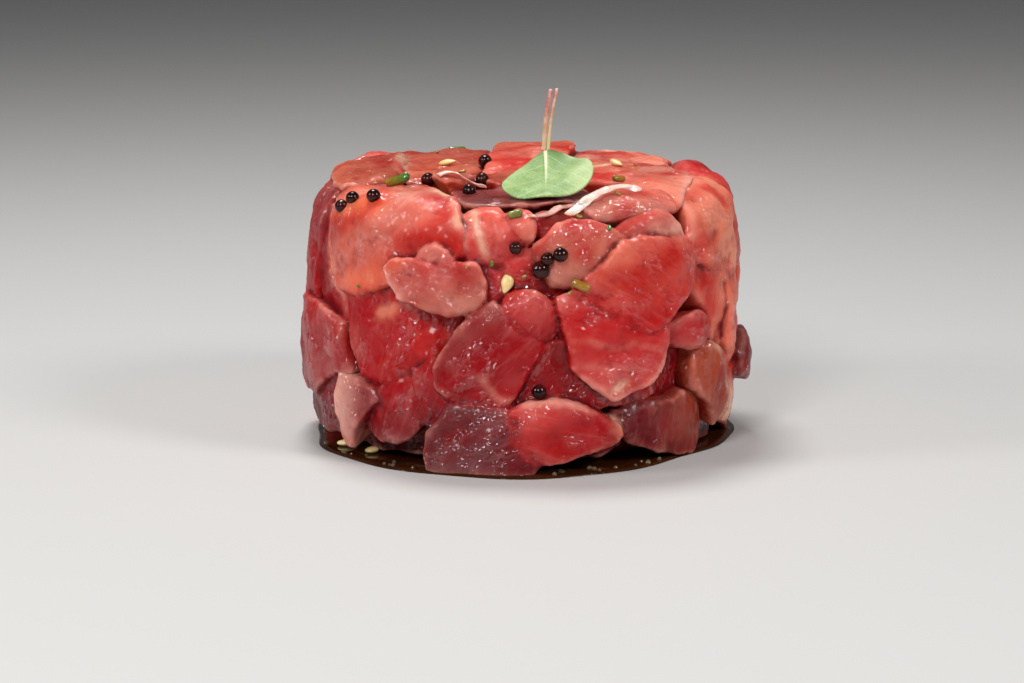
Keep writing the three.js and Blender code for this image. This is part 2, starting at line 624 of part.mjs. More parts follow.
// Everything fused and cut flat underneath. Also gives the search for its bare surface.
function heapSolids() {
  const placed = [
    ...Object.values(wallChunks).map((chunk) => [chunk, onWall]),
    ...backChunks().map((chunk) => [chunk, onWall]),
    ...Object.values(topChunks).map((chunk) => [chunk, onTop]),
  ];
  let tuna = coreSolid();
  placed.forEach(([chunk, skinAt], i) => {
    tuna = tuna.add(chunkSolid(chunk, skinAt, i));
  });
  const find = surfaceFinder(tuna);
  const dressed = toppings(find).reduce((sum, bit) => sum.add(bit), tuna);
  const wide = 4 * drum.radius;
  const deep = drum.height / 2;
  const below = new THREE.BoxGeometry(wide, wide, deep).translate(0, 0, -deep / 2);
  const flat = dressed.subtract(solidOfGeometry(below));
  const pieces = flat.decompose().sort((a, b) => b.volume() - a.volume());
  return { heap: pieces[0], find };
}

// A point of the blade, from its place across and along the flat leaf.
function bladePoint([across, along], find) {
  const x = leaf.base.x + across;
  const y = leaf.base.y - along * Math.cos(Math.atan(leaf.slope));
  const wave = leaf.wave * Math.sin(0.7 * across + 0.45 * along);
  const waved = wave * Math.min(1, along / leaf.waveStart);
  const z = leaf.base.z - leaf.slope * along + leaf.cup * across ** 2 + waved;
  const ground = find(new THREE.Vector3(x, y, drum.height), upwards.clone().negate()).z;
  return new THREE.Vector3(x, y, Math.max(z, ground + leaf.gap + leaf.thick / 2));
}

// Both faces of the blade are split into triangles alike and meet in a thin rim.
function bladeSolid(find) {
  const [c, d] = leaf.middle;
  const face = (lift) =>
    Array.from({ length: leaf.rings }, (_, k) => {
      const share = (k + 1) / leaf.rings;
      return leaf.outline.map(([a, b]) => {
        const place = bladePoint([c + (a - c) * share, d + (b - d) * share], find);
        return place.addScaledVector(upwards, lift * (share === 1 ? leaf.rimShare : 1));
      });
    });
  const half = leaf.thick / 2;
  const poles = [half, -half].map((lift) => bladePoint(leaf.middle, find).addScaledVector(upwards, lift));
  return ringSolid(poles[0], [...face(half), ...face(-half).reverse()], poles[1]);
}

// A round stem with a slight bow.
function stemSolid({ foot, top, radius }) {
  const from = new THREE.Vector3(...foot).add(leaf.base);
  const to = new THREE.Vector3(...top).add(leaf.base);
  const bow = from.clone().lerp(to, 0.5).add(new THREE.Vector3(...stemMake.bow));
  const section = new THREE.Shape().absarc(0, 0, radius, 0, 2 * Math.PI);
  const extrudePath = new THREE.CatmullRomCurve3([from, bow, to]);
  const { steps, sides } = stemMake;
  const options = { steps, curveSegments: sides, extrudePath, bevelEnabled: false };
  return solidOfGeometry(new THREE.ExtrudeGeometry(section, options));
}

function node(name, solid, color, roughness) {
  const material = new THREE.MeshStandardMaterial({ color, roughness, metalness: 0 });
  const mesh = new THREE.Mesh(geometryOf(solid), material);
  mesh.name = name;
  return mesh;
}

const { heap, find } = heapSolids();
const sprig = stems.reduce((sum, one) => sum.add(stemSolid(one)), bladeSolid(find));

const tartare = new THREE.Group();
tartare.add(node("tuna_heap", heap, 0xb3403a, 0.25));
tartare.add(node("leaf", sprig, 0x7fa45c, 0.45));

export default tartare;
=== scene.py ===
import json
import math
import random

import bpy
import numpy as np
from mathutils import Matrix, Vector
from mathutils.bvhtree import BVHTree
from mathutils.kdtree import KDTree

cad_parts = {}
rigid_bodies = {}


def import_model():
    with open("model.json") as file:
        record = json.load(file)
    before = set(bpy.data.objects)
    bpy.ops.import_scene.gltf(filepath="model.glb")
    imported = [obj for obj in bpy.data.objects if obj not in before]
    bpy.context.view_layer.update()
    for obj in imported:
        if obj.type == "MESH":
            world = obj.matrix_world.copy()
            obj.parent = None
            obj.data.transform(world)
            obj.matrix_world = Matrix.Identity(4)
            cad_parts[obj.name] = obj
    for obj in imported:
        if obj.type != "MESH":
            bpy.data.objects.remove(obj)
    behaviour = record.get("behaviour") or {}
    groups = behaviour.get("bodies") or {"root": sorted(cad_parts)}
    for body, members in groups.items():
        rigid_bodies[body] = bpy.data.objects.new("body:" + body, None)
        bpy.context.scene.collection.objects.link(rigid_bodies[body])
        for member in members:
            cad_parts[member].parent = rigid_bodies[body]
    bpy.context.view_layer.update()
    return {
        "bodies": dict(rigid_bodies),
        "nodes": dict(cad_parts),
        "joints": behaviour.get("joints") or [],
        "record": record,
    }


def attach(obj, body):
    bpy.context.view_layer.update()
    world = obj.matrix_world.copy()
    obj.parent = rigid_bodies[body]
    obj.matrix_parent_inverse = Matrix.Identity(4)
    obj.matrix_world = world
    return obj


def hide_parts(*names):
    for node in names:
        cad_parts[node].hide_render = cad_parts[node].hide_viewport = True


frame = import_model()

mm = 0.001
ofGround = 0.02  # mm that everything keeps over what it stands on

# the drum that the ring pressed: everything is laid out on its skin, then wrapped
drum = {"radius": 36, "height": 44, "rim": 6.5, "heart": 16, "leanIn": 2.2}
rimStart = drum["height"] - drum["rim"]
topStart = rimStart + drum["rim"] * math.pi / 2
topRadius = drum["radius"] - drum["rim"]
heartPoint = np.array([0, 0, drum["heart"]])


def srgb(red, green, blue):
    out = []
    for value in (red, green, blue):
        value /= 255
        out.append(value / 12.92 if value <= 0.04045 else ((value + 0.055) / 1.055) ** 2.4)
    return tuple(out)


def deselectAll():
    bpy.ops.object.select_all(action="DESELECT")


def onlySelect(piece):
    deselectAll()
    piece.select_set(True)
    bpy.context.view_layer.objects.active = piece


def applyModifier(piece, kind, **values):
    onlySelect(piece)
    modifier = piece.modifiers.new(kind.lower(), kind)
    for key, value in values.items():
        setattr(modifier, key, value)
    bpy.ops.object.modifier_apply(modifier=modifier.name)


def readPlaces(piece):
    places = np.empty(len(piece.data.vertices) * 3)
    piece.data.vertices.foreach_get("co", places)
    return places.reshape(-1, 3)


def writePlaces(piece, places):
    piece.data.vertices.foreach_set("co", np.asarray(places).ravel())
    piece.data.update()


def joinPieces(pieces, name):
    deselectAll()
    for piece in pieces:
        piece.select_set(True)
    bpy.context.view_layer.objects.active = pieces[0]
    if len(pieces) > 1:
        bpy.ops.object.join()
    joined = bpy.context.view_layer.objects.active
    joined.name = name
    joined.data.name = name
    return joined


def paint(piece, attribute, kind, field, values):
    layer = piece.data.attributes.new(attribute, kind, "POINT")
    layer.data.foreach_set(field, np.asarray(values, dtype=np.float32).ravel())


def smoothShade(piece):
    onlySelect(piece)
    bpy.ops.object.shade_smooth()


def dress(piece, material):
    piece.data.materials.clear()
    piece.data.materials.append(material)
    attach(piece, "root")


# a place on the drum's skin: s runs round the wall from the front, t up it, over the rim and inwards
def onWall(s, t):
    s, t = np.asarray(s, float), np.asarray(t, float)
    bend = (t - rimStart) / drum["rim"]
    r = np.where(t < rimStart, drum["radius"], topRadius + drum["rim"] * np.cos(bend))
    z = np.where(t < rimStart, t, rimStart + drum["rim"] * np.sin(bend))
    r = np.where(t > topStart, topRadius - (t - topStart), r)
    z = np.where(t > topStart, drum["height"], z)
    a = s / drum["radius"]
    x = r * np.sin(a)
    leanIn = drum["leanIn"] * np.maximum(0, -x / drum["radius"]) ** 6 * np.maximum(0, z / drum["height"]) ** 3
    return np.stack([x + leanIn, -r * np.cos(a), z], -1)


def onTop(x, y):
    x, y = np.asarray(x, float), np.asarray(y, float)
    return onWall(drum["radius"] * np.arctan2(x, -y), topStart + topRadius - np.hypot(x, y))


def outFrom(skin):
    away = skin - heartPoint
    return away / np.linalg.norm(away, axis=-1, keepdims=True)


# every colour that the flesh is painted with
flesh = {
    "salmon": srgb(206, 86, 70),
    "coral": srgb(218, 114, 90),
    "rose": srgb(190, 58, 56),
    "red": srgb(184, 28, 28),
    "crimson": srgb(158, 14, 22),
    "ruby": srgb(132, 8, 16),
    "peach": srgb(222, 134, 106),
    "orange": srgb(232, 104, 54),
    "amber": srgb(172, 70, 40),
    "clay": srgb(184, 106, 90),
    "rust": srgb(140, 46, 24),
    "mauve": srgb(132, 50, 54),
    "dusk": srgb(112, 56, 60),
    "plum": srgb(108, 20, 28),
    "wine": srgb(78, 5, 9),
    "pale": srgb(228, 158, 140),
    "cream": srgb(236, 214, 178),
}

chunkMake = {
    "buried": 6.5,  # mm of a chunk below its face
    "taper": 0.92,
    "grow": 1.035,  # chunks press into each other
    "bevel": 0.5,
    "stretch": (7, 1, 3),  # of the relief: along the fibres, across them and into the chunk
    "voxel": 0.5,
    "smooth": 2,
    "lumpHigh": 0.35,
    "lump": (6.5, 1.0),  # size and strength of the relief, mm
    "flake": (1.5, 0.35),
    # once chunks are pressed together: size and strength of folds and crinkles, smoothing that finds hollows,
    # and how strongly the painted sheen makes what faces up or stands proud paler
    "pressed": {"voxel": 0.31, "smooth": 2, "folds": (2.6, 0.8), "crinkle": (0.9, 0.2), "hollow": 26,
                "deep": 160, "keep": 0.68, "near": 6, "blur": 0.25, "paintedSheen": {"up": 0.08, "proud": 0.24}},
}

# out: how far the face stands off the skin; lean: its rise per mm; the face fades from one tone to another
# in the direction fadeTurn; corners are millimetres round the wall and up it, or on the top across and along
def chunk(out, thick, dome, lean, tone, fadeTone, fadeTurn, fibre, relief, corners):
    return {"out": out, "thick": thick, "dome": dome, "lean": lean, "tone": tone,
            "fade": (fadeTone, fadeTurn), "fibre": fibre, "relief": relief, "corners": corners}


wallChunks = {
    "cornerBlock": chunk(0.1, 13, 0.3, (0.02, -0.03), "clay", "salmon", -60, 80, 0.6, [
        (-41.6, 39), (-44, 44), (-42.5, 51.5), (-36.5, 58.5), (-29, 57), (-21, 53.5), (-15.5, 49.5),
        (-11.8, 45), (-10.2, 40.5), (-10, 36), (-12.5, 33), (-20, 31), (-25, 29.5), (-31, 27.5),
        (-35.6, 28), (-39, 31), (-40.6, 35.5)]),
    "lipSlice": chunk(1.9, 5, 0.5, (-0.07, -0.08), "clay", "rose", 110, -15, 0.6, [
        (-23.2, 32.3), (-21.5, 33.8), (-17.8, 34.2), (-14, 33.6), (-10.5, 34.4), (-7, 34.3), (-5.5, 31.5),
        (-5.5, 28.5), (-8, 26.3), (-11.5, 25.5), (-16, 26.3), (-20, 27.5), (-22.2, 30)]),
    "lipBump": chunk(1.4, 4, 0.5, (0, 0), "clay", "pale", 90, 30, 0.7, [
        (-17.6, 33.6), (-16.2, 36), (-14, 37), (-12, 36.2), (-10.6, 34.4), (-10, 32.4), (-14, 31.8)]),
    "ribbedWedge": chunk(-1, 11, 0.6, (0.04, 0), "rose", "salmon", 100, 70, 1.6, [
        (-10.3, 44.5), (-8, 46), (-4, 45), (-1.5, 41.6), (0.3, 38.8), (-0.5, 36.5), (-3, 34.8),
        (-6.2, 34.4), (-9.5, 34), (-10.5, 37), (-10.7, 41)]),
    "notchNub": chunk(0.1, 9, 0.6, (0.05, 0), "rose", "salmon", -80, 40, 1.2, [
        (-3.4, 43.2), (-0.5, 45), (1.8, 43.6), (2.6, 40.8), (1.9, 38.6), (0.4, 38.2), (-1.4, 40.4)]),
    "paleShoulder": chunk(0.4, 12, 0.8, (0, -0.03), "clay", "rose", 95, 20, 1.2, [
        (1.8, 37.6), (4.8, 39.6), (6.2, 41.2), (8.6, 42), (11.8, 41.5), (14.8, 40.6), (17, 38.2),
        (16.5, 36), (14, 33.5), (11, 31.8), (8, 30.8), (5, 30.8), (3, 34)]),
    "paleSlab": chunk(0.5, 10, 0.5, (0, -0.04), "clay", "pale", 60, 5, 0.5, [
        (15, 39.6), (17, 40.8), (20, 42), (23, 42.6), (25.7, 42.3), (28, 41.2), (30, 39.2), (29.8, 37),
        (26.5, 35.6), (20, 35.8), (16, 36.4)]),
    "bigFace": chunk(1.5, 13, 1.3, (-0.03, -0.05), "red", "salmon", 100, -35, 0.5, [
        (13.5, 34), (16, 37), (20, 37.6), (25, 36.8), (28.5, 37.5), (31.2, 36.5), (32.3, 34), (32.2, 31.5),
        (30.7, 28.5), (27.3, 25.5), (25, 23.5), (21, 22), (17, 23.5), (12.5, 26.8), (9.5, 29.5),
        (10.5, 32)]),
    "hangingFlap": chunk(1.9, 6, 0.4, (0.02, -0.06), "rose", "red", 80, -12, 0.9, [
        (5.3, 29), (9.5, 30), (15, 27.8), (21, 24.8), (25.2, 23), (24.8, 19.5), (23.9, 17), (22, 14.8),
        (19.6, 13.4), (16.8, 12.6), (14.6, 11.9), (11.8, 13.9), (9.4, 15.6), (8.1, 17.2), (7.7, 20),
        (6.8, 23)]),
    "roundLump": chunk(-0.3, 10, 2.2, (-0.08, 0.04), "crimson", "rose", 115, 60, 0.4, [
        (-3.4, 27), (-2.8, 29.4), (-1, 30.5), (2, 30.3), (4.8, 29), (6.6, 25.5), (7.2, 22.5), (4, 21.3),
        (1, 21.2), (-1.6, 22.7), (-3.1, 25)]),
    "wetHollow": chunk(-1.8, 10, 0.6, (0, 0.05), "red", "rose", 140, 10, 1.8, [
        (-6, 35.2), (-3, 35.6), (0, 37.4), (2.4, 38), (4, 35), (6.5, 31.5), (8, 29), (3, 28.4),
        (-2.5, 28.8), (-5.5, 29)]),
    "wetSaddle": chunk(-1.4, 9, 0.6, (0, 0), "red", "rose", 0, 30, 1.5, [
        (-9.5, 35), (-6, 35.2), (-3, 33), (-2, 29.5), (-3, 25.5), (-6.5, 25.8), (-8, 30)]),
    "redBlock": chunk(-1.5, 12, 0.8, (-0.14, -0.05), "crimson", "red", -20, 75, 0.7, [
        (-34.2, 27.5), (-28, 29.2), (-22, 31), (-14, 29), (-10.5, 27), (-12, 22.8), (-15, 18.6),
        (-19, 15.5), (-23, 13.5), (-27, 13), (-30.5, 14.5), (-32.6, 18.5), (-33.7, 23)]),
    "slantBlock": chunk(1.1, 12, 0.9, (-0.09, 0.02), "crimson", "ruby", 130, 48, 0.7, [
        (-4.5, 28.5), (-8, 25.8), (-10.5, 22.8), (-12.5, 20.3), (-14, 17.5), (-13.9, 14), (-11, 11.8),
        (-7, 10.8), (-2.5, 11), (0, 14), (2, 18), (4, 21), (1, 23.5), (-2, 26)]),
    "wideSlab": chunk(-1.2, 12, 0.7, (-0.04, 0.03), "ruby", "crimson", -20, 60, 0.6, [
        (0.5, 20), (4, 21.6), (8, 22), (12, 20), (18, 17), (23, 15), (25, 11.5), (21, 9.6), (12, 10),
        (7, 10.8), (0, 11), (-3.5, 11.4), (-1.6, 15)]),
    "toeLeft": chunk(2.1, 13, 0.7, (0.04, -0.13), "dusk", "plum", 20, 25, 0.5, [
        (-15.8, 3), (-15.6, 6), (-13.6, 8.7), (-11.5, 11.4), (-7, 11.6), (-2.4, 11), (0.6, 8.6), (3, 6),
        (4.4, 3.4), (2, 1), (-2, -0.6), (-8, -1), (-14, -0.8)]),
    "toePoint": chunk(2.2, 11, 0.6, (-0.05, -0.08), "crimson", "rose", 180, -10, 0.5, [
        (-2, 10.6), (1, 12), (5, 12.5), (9, 11.7), (13, 9.8), (16, 7.8), (17, 6), (14, 4.7), (9, 3.6),
        (4, 2.4), (1, 3.4), (-1.4, 6.6)]),
    # painted shade: this chunk only fills the gap under the toe and is coloured wine as shade
    "toeUnder": chunk(-4.6, 8, 0.3, (0, 0), "wine", "plum", 0, 0, 0.6, [
        (-3, 6), (4, 5), (12, 5), (19, 5), (20, 1), (14, -0.8), (4, -1), (-4, 0)]),
    "footRight": chunk(-1.3, 12, 0.8, (0, 0.02), "plum", "rust", 20, 85, 0.5, [
        (16, 6), (16.6, 8.8), (21, 9.9), (28, 10.2), (31, 10.9), (34, 10.5), (36.8, 8.2), (38.2, 4.6),
        (37.6, 1), (34.5, -0.5), (30.5, 0), (25, 1.2), (19.6, 3)]),
    "knob": chunk(0.2, 10, 1.4, (0, 0.04), "crimson", "rose", 90, 0, 0.8, [
        (25.4, 22.4), (28, 23.8), (31, 24.6), (33.5, 24.9), (36.5, 23.6), (38.6, 21), (38.2, 18.4),
        (34, 17.9), (30, 18.5), (26, 19.6)]),
    "shadedRecess": chunk(-3.8, 9, 0.3, (0, 0.05), "wine", "crimson", 0, 90, 0.8, [
        (23, 21), (30, 19.5), (34, 18.6), (35, 14), (34.5, 10), (28, 9), (22, 9), (19, 12), (22, 16)]),
    "amberPost": chunk(0.1, 11, 0.9, (0.02, 0), "rust", "amber", 60, 80, 1, [
        (33.4, 18.2), (38, 18.4), (41.4, 17.6), (44.4, 14.5), (46, 10.5), (45.6, 6.5), (43, 4.2),
        (39.6, 3.8), (37.6, 6.8), (35.6, 9.6), (33, 11), (32.5, 14.5)]),
    "amberFoot": chunk(-0.2, 12, 0.9, (0, 0.03), "salmon", "cream", -90, 70, 1, [
        (44.5, 16), (49, 13.5), (54, 10), (55, 6), (50, 3.6), (44.5, 3.2), (41.6, 4.4), (44, 7),
        (45.4, 11.5)]),
    "stripeInner": chunk(-0.3, 11, 0.9, (0.02, 0), "salmon", "coral", 0, 80, 1.3, [
        (31.6, 29.4), (33.4, 32.6), (36.4, 33.6), (40, 31.4), (43, 28.5), (44.4, 23), (44.4, 17.5),
        (41.4, 16.8), (38.8, 20.4), (37, 23.8), (34, 25.4)]),
    "stripeOuter": chunk(0.6, 11, 0.8, (0.01, 0), "coral", "salmon", 0, 85, 1, [
        (40, 32.4), (45, 31.4), (49.6, 28), (51, 21), (50, 14.5), (46, 13.6), (44, 17), (44, 23),
        (42.6, 28)]),
    "orangeCorner": chunk(-0.3, 14, 0.7, (0, -0.07), "peach", "coral", 100, 0, 0.6, [
        (31.8, 39.5), (33, 43), (37, 46.5), (45, 49), (55, 50.5), (62, 50), (66, 46), (66, 40), (61, 34),
        (53, 30), (46.5, 27.2), (42, 28), (38.5, 30.3), (33, 33.4), (31.2, 36.4)]),
    "edgeTab": chunk(0, 10, 0.6, (0, 0), "rust", "mauve", -90, 90, 0.9, [
        (50, 33), (55, 36.4), (60, 35), (61, 27), (58, 20.4), (52.6, 18.8), (50, 22), (49, 28)]),
    "edgeBump": chunk(2.2, 11, 0.8, (0, -0.08), "mauve", "plum", 120, 60, 1, [
        (49.8, 15), (54, 18), (60, 17.6), (63, 14.6), (60.6, 11), (54.6, 9.4), (50, 11)]),
    "crimsonStrip": chunk(-0.8, 11, 0.6, (0.03, 0), "crimson", "ruby", 180, 110, 0.9, [
        (-47.5, 40), (-42.6, 42), (-40.6, 36), (-38.4, 29.6), (-34.6, 27.4), (-33.6, 22.8), (-38, 22),
        (-43.4, 25), (-47.6, 32)]),
    "leftShoulder": chunk(0.1, 12, 0.7, (-0.04, -0.04), "crimson", "mauve", 90, 100, 0.8, [
        (-62, 38), (-57, 44), (-51, 47.5), (-45, 45), (-44.6, 38), (-46, 31), (-45, 25), (-50, 21.6),
        (-58, 23), (-63, 30)]),
    "leftBelly": chunk(1.0, 12, 0.9, (-0.01, 0.02), "mauve", "crimson", 70, 95, 0.7, [
        (-33.8, 22.6), (-32.8, 18), (-31.4, 14), (-36, 13.8), (-39, 12), (-43, 9), (-49, 10), (-56, 12.6),
        (-60, 19), (-56, 24.4), (-48, 24.6), (-41, 24.6)]),
    "tongue": chunk(1.1, 5.5, 0.7, (0, 0.03), "mauve", "pale", 180, 80, 0.8, [
        (-34.6, 14.2), (-30, 13.8), (-26.4, 12.5), (-24.8, 10.5), (-27.4, 8.3), (-29.3, 6), (-30.1, 4),
        (-30.8, 2), (-32.6, 1.9), (-34.4, 4.5), (-36, 7.5), (-35.7, 11)]),
    "leftFoot": chunk(-0.8, 11, 0.7, (0, 0.09), "plum", "wine", 150, 80, 0.8, [
        (-56, 12), (-50, 12.6), (-43, 12), (-38.6, 13.6), (-34.6, 13), (-33, 8), (-34.4, 3.6), (-38, 2.4),
        (-46, 2.2), (-54, 2.6), (-57, 6)]),
    "raggedFoot": chunk(-0.8, 10, 0.7, (0.02, -0.03), "crimson", "mauve", -100, 70, 1.6, [
        (-29.2, 4.6), (-26.4, 3), (-22.5, 3.2), (-19.5, 4), (-17.3, 6.4), (-16, 9.5), (-16.6, 13),
        (-20, 15), (-24.5, 14), (-27, 11.4), (-29.4, 8)]),
    # painted shade: this chunk and the next only fill dark recesses at the foot and are coloured wine as
    # shade
    "footHollow": chunk(-5, 9, 0.3, (0, 0), "wine", "wine", 0, 0, 0.8, [
        (-52, 6), (-44, 8), (-34, 8), (-28, 8.5), (-22, 6), (-15, 7), (-13, 3), (-14, -0.8), (-24, -1),
        (-38, -1), (-50, -0.8)]),
    "footShade": chunk(-4, 8, 0.3, (0, 0), "wine", "plum", 0, 0, 0.8, [
        (36, 5), (44, 6.5), (56, 6.5), (60, 2), (54, -0.8), (44, -1), (37, -0.8)]),
    "sunkenFloor": chunk(-3, 8, 0.2, (0, 0), "crimson", "rust", 0, 0, 0.8, [
        (1, 43), (3, 46.5), (9, 47), (13, 44), (9.6, 40), (4, 39)]),
    "midWedge": chunk(-0.7, 10, 0.6, (0.02, 0), "crimson", "plum", -90, 60, 1.5, [
        (-19.5, 15.6), (-15, 18.8), (-13, 17), (-12.6, 12.6), (-11.4, 10.4), (-14, 7.6), (-16.4, 6.2),
        (-18, 8.5), (-18.4, 12)]),
}

topChunks = {
    "leftSlab": chunk(0.9, 10, 0.6, (0.05, 0.02), "amber", "rust", 0, 70, 0.6, [
        (-32.5, -6), (-33.5, 5), (-31, 17), (-25, 25), (-20.5, 23), (-19.5, 12), (-20, 0), (-23, -9),
        (-27.5, -12.5), (-31, -11.5)]),
    "backLeft": chunk(0.4, 10, 0.7, (0, 0.02), "rust", "amber", -90, 20, 0.8, [
        (-20, 13), (-21.5, 24), (-15, 31), (-8, 34), (-5, 28), (-5, 14), (-8, 3), (-13, -5), (-20, -4)]),
    "backCentre": chunk(1.2, 11, 1.4, (0.03, 0.045), "amber", "salmon", -90, 60, 0.7, [
        (-4, 31), (0, 35), (7.5, 35), (9, 31), (9, 22), (7, 8), (4, -4), (-2, -6), (-7, 0), (-5, 14)]),
    "backRight": chunk(0.3, 10, 0.6, (0, 0.02), "clay", "coral", 0, -30, 0.8, [
        (9, 34.6), (19, 30.5), (27, 23.5), (25, 14), (17, 11), (8, 14)]),
    "rightWedge": chunk(0.2, 10, 0.5, (0, 0), "salmon", "amber", 45, 20, 0.8, [
        (5.5, 17), (12, 16), (20, 13), (21, 3), (16, -8), (9, -9), (4, 0)]),
    "rightSlab": chunk(-0.1, 11, 0.6, (-0.05, 0), "clay", "coral", -70, 60, 0.6, [
        (19, 13), (26, 16), (28.6, 5), (28.8, -5), (28, -15), (26.8, -23), (22, -23.5), (16, -14),
        (15.5, -5)]),
    "wetRidge": chunk(0.2, 9, 0.8, (0, 0), "clay", "salmon", 90, 30, 1, [
        (8.5, -31.5), (11.5, -26), (15, -20.5), (19, -17.5), (23, -19.5), (26, -24), (22.5, -28.5),
        (17, -31.5), (12.5, -33.6)]),
    "darkSlab": chunk(-1.1, 10, 0.3, (0, 0), "plum", "wine", -90, 15, 0.5, [
        (-12.5, -11), (-5, -9.5), (4, -8), (11, -12), (12.5, -18), (9, -25), (2, -30), (-5, -31.5),
        (-9.5, -29.5), (-11.3, -21)]),
    "paleNub": chunk(0.9, 8, 0.8, (0, 0), "amber", "mauve", 60, 0, 0.8, [
        (-14.5, -8), (-12.5, -4), (-9, -4), (-7.5, -8), (-9, -12.5), (-12.6, -13)]),
    "middleCrumb": chunk(0, 10, 0.7, (0, 0), "rust", "amber", 90, 40, 1, [
        (-9, -4), (-4, 2), (4, 3), (8, -5), (5, -12), (-4, -12)]),
}

# the same rule, with the same seed, lays out the chunks of the solids round the back
backRule = {
    "seed": 20577, "from": 60, "to": 2 * math.pi * drum["radius"] - 62, "columns": 6,
    "courses": [4.5, 15.5, 27, 39.5], "halfWide": 11, "halfHigh": 7.6, "corners": 8,
    "tones": ["red", "rose", "salmon", "crimson", "mauve", "rose", "coral", "red", "plum", "rust"],
    "toneSeed": 5,
}


def dice(seed):
    state = [seed]

    def roll():
        state[0] = (state[0] * 1664525 + 1013904223) & 0xFFFFFFFF
        return state[0] / 2 ** 32
    return roll


def backChunks():
    roll = dice(backRule["seed"])
    tones = random.Random(backRule["toneSeed"])

    def spread(low, high):
        return low + (high - low) * roll()
    made = {}
    for course, height in enumerate(backRule["courses"]):
        for column in range(backRule["columns"]):
            pitch = (backRule["to"] - backRule["from"]) / (backRule["columns"] - 0.5)
            s0 = backRule["from"] + pitch * (column + (course % 2) * 0.5) + spread(-2, 2)
            t0 = height + spread(-1.2, 1.2)
            size = spread(0.86, 1.2)
            tilt = spread(-0.45, 0.45)
            corners = []
            for i in range(backRule["corners"]):
                angle = (i + spread(-0.3, 0.3)) / backRule["corners"] * 2 * math.pi
                reach = size * spread(0.86, 1.12)
                a = reach * backRule["halfWide"] * math.cos(angle)
                b = reach * backRule["halfHigh"] * math.sin(angle)
                corners.append((s0 + a * math.cos(tilt) - b * math.sin(tilt),
                                max(-0.9, t0 + a * math.sin(tilt) + b * math.cos(tilt))))
            made[f"back{course}{column}"] = {
                "corners": corners, "out": spread(-1.3, 1.2), "thick": 11, "dome": spread(0.4, 1.4),
                "lean": (spread(-0.08, 0.08), spread(-0.08, 0.08)),
                "tone": tones.choice(backRule["tones"]),
                "fade": (tones.choice(backRule["tones"]), tones.uniform(0, 360)),
                "fibre": tones.uniform(0, 180), "relief": tones.uniform(0.5, 1.4)}
    return made


# fat seams, sinew and stains, and a few pale runs of painted light: a run of places on the wall, its half
# width in mm, colour and strength
strokes = [
    ([(-34, 60.5), (-24, 55), (-16.5, 49.6)], 1.0, "cream", 0.75),
    ([(-16.5, 49.6), (-13.6, 46.5), (-11.6, 43), (-10.5, 40.6)], 0.75, "cream", 0.8),
    ([(-36, 42.5), (-29, 44)], 3.6, "orange", 0.7),
    ([(-40, 46), (-30, 53)], 3, "orange", 0.3),
    ([(-20, 34.5), (-12, 36.4)], 3.6, "red", 0.5),
    # painted sheen: a pale run over the corner block's rounded top
    ([(-38, 45.5), (-28, 47), (-17, 44.6)], 1.7, "pale", 0.4),
    # painted light: a coral run along the corner block's thin lower-left edge, as light showing through it
    ([(-40.5, 33), (-36, 28.6), (-27, 30.4)], 1.1, "coral", 0.7),
    ([(-20, 33), (-30, 29.5)], 2, "orange", 0.35),
    ([(-8.8, 44.5), (-7.6, 41), (-6.6, 38), (-5.6, 35.6)], 0.45, "cream", 0.6),
    ([(-9.8, 41), (-9.4, 37)], 0.5, "pale", 0.5),
    ([(7.4, 21.6), (10.7, 21.6), (14.2, 20.2), (18.3, 20.6), (23, 19.4)], 0.25, "pale", 0.35),
    ([(9, 18), (14, 17.2), (20, 16.4)], 0.25, "pale", 0.3),
    # painted light: a pale run along the hanging flap's thin lower edge, as light showing through it
    ([(9.4, 15.8), (12, 14), (14.6, 12.3), (17, 13), (20, 14), (22.6, 15.6), (24.3, 18.4)],
     0.45, "pale", 0.6),
    ([(14.4, 13.8), (16.8, 14.9)], 0.5, "cream", 0.6),
    ([(-6, 16.3), (-4.8, 14), (-3.7, 12.5), (-1.6, 12.4)], 0.4, "pale", 0.5),
    ([(0.6, 12), (5.2, 12.5), (10, 11.4)], 0.4, "pale", 0.6),
    ([(16.6, 6.4), (15.8, 7.2)], 1.1, "cream", 0.7),
    ([(-25, 25.3), (-23, 26)], 1.3, "peach", 0.8),
    # painted light: a pale run along the lip slice's thin left edge, as light showing through it
    ([(-23.2, 32.2), (-21.4, 28.6), (-19.8, 27.4)], 0.7, "pale", 0.7),
    ([(5, 36.5), (11, 37), (15, 35)], 3, "peach", 0.35),
    ([(33.6, 45), (33.2, 41), (32.2, 37)], 0.6, "pale", 0.6),
    ([(39, 18.6), (42.5, 15), (44, 10)], 0.6, "cream", 0.5),
    ([(33, 31), (36, 30), (40, 30.4)], 1.4, "crimson", 0.6),
]
topStrokes = [
    ([(12, 6), (17, 8)], 1.6, "cream", 0.7),
    ([(27.6, 6), (27.8, -8), (26.6, -22)], 0.7, "pale", 0.6),
    ([(-20, 20), (-19.5, 10), (-20, 0)], 0.8, "cream", 0.4),
    ([(-10, 28), (-16, 27)], 2, "amber", 0.6),
    ([(0, 28), (3, 18), (2, 8)], 0.5, "pale", 0.5),
    ([(14, 28), (20, 20)], 0.6, "cream", 0.5),
]

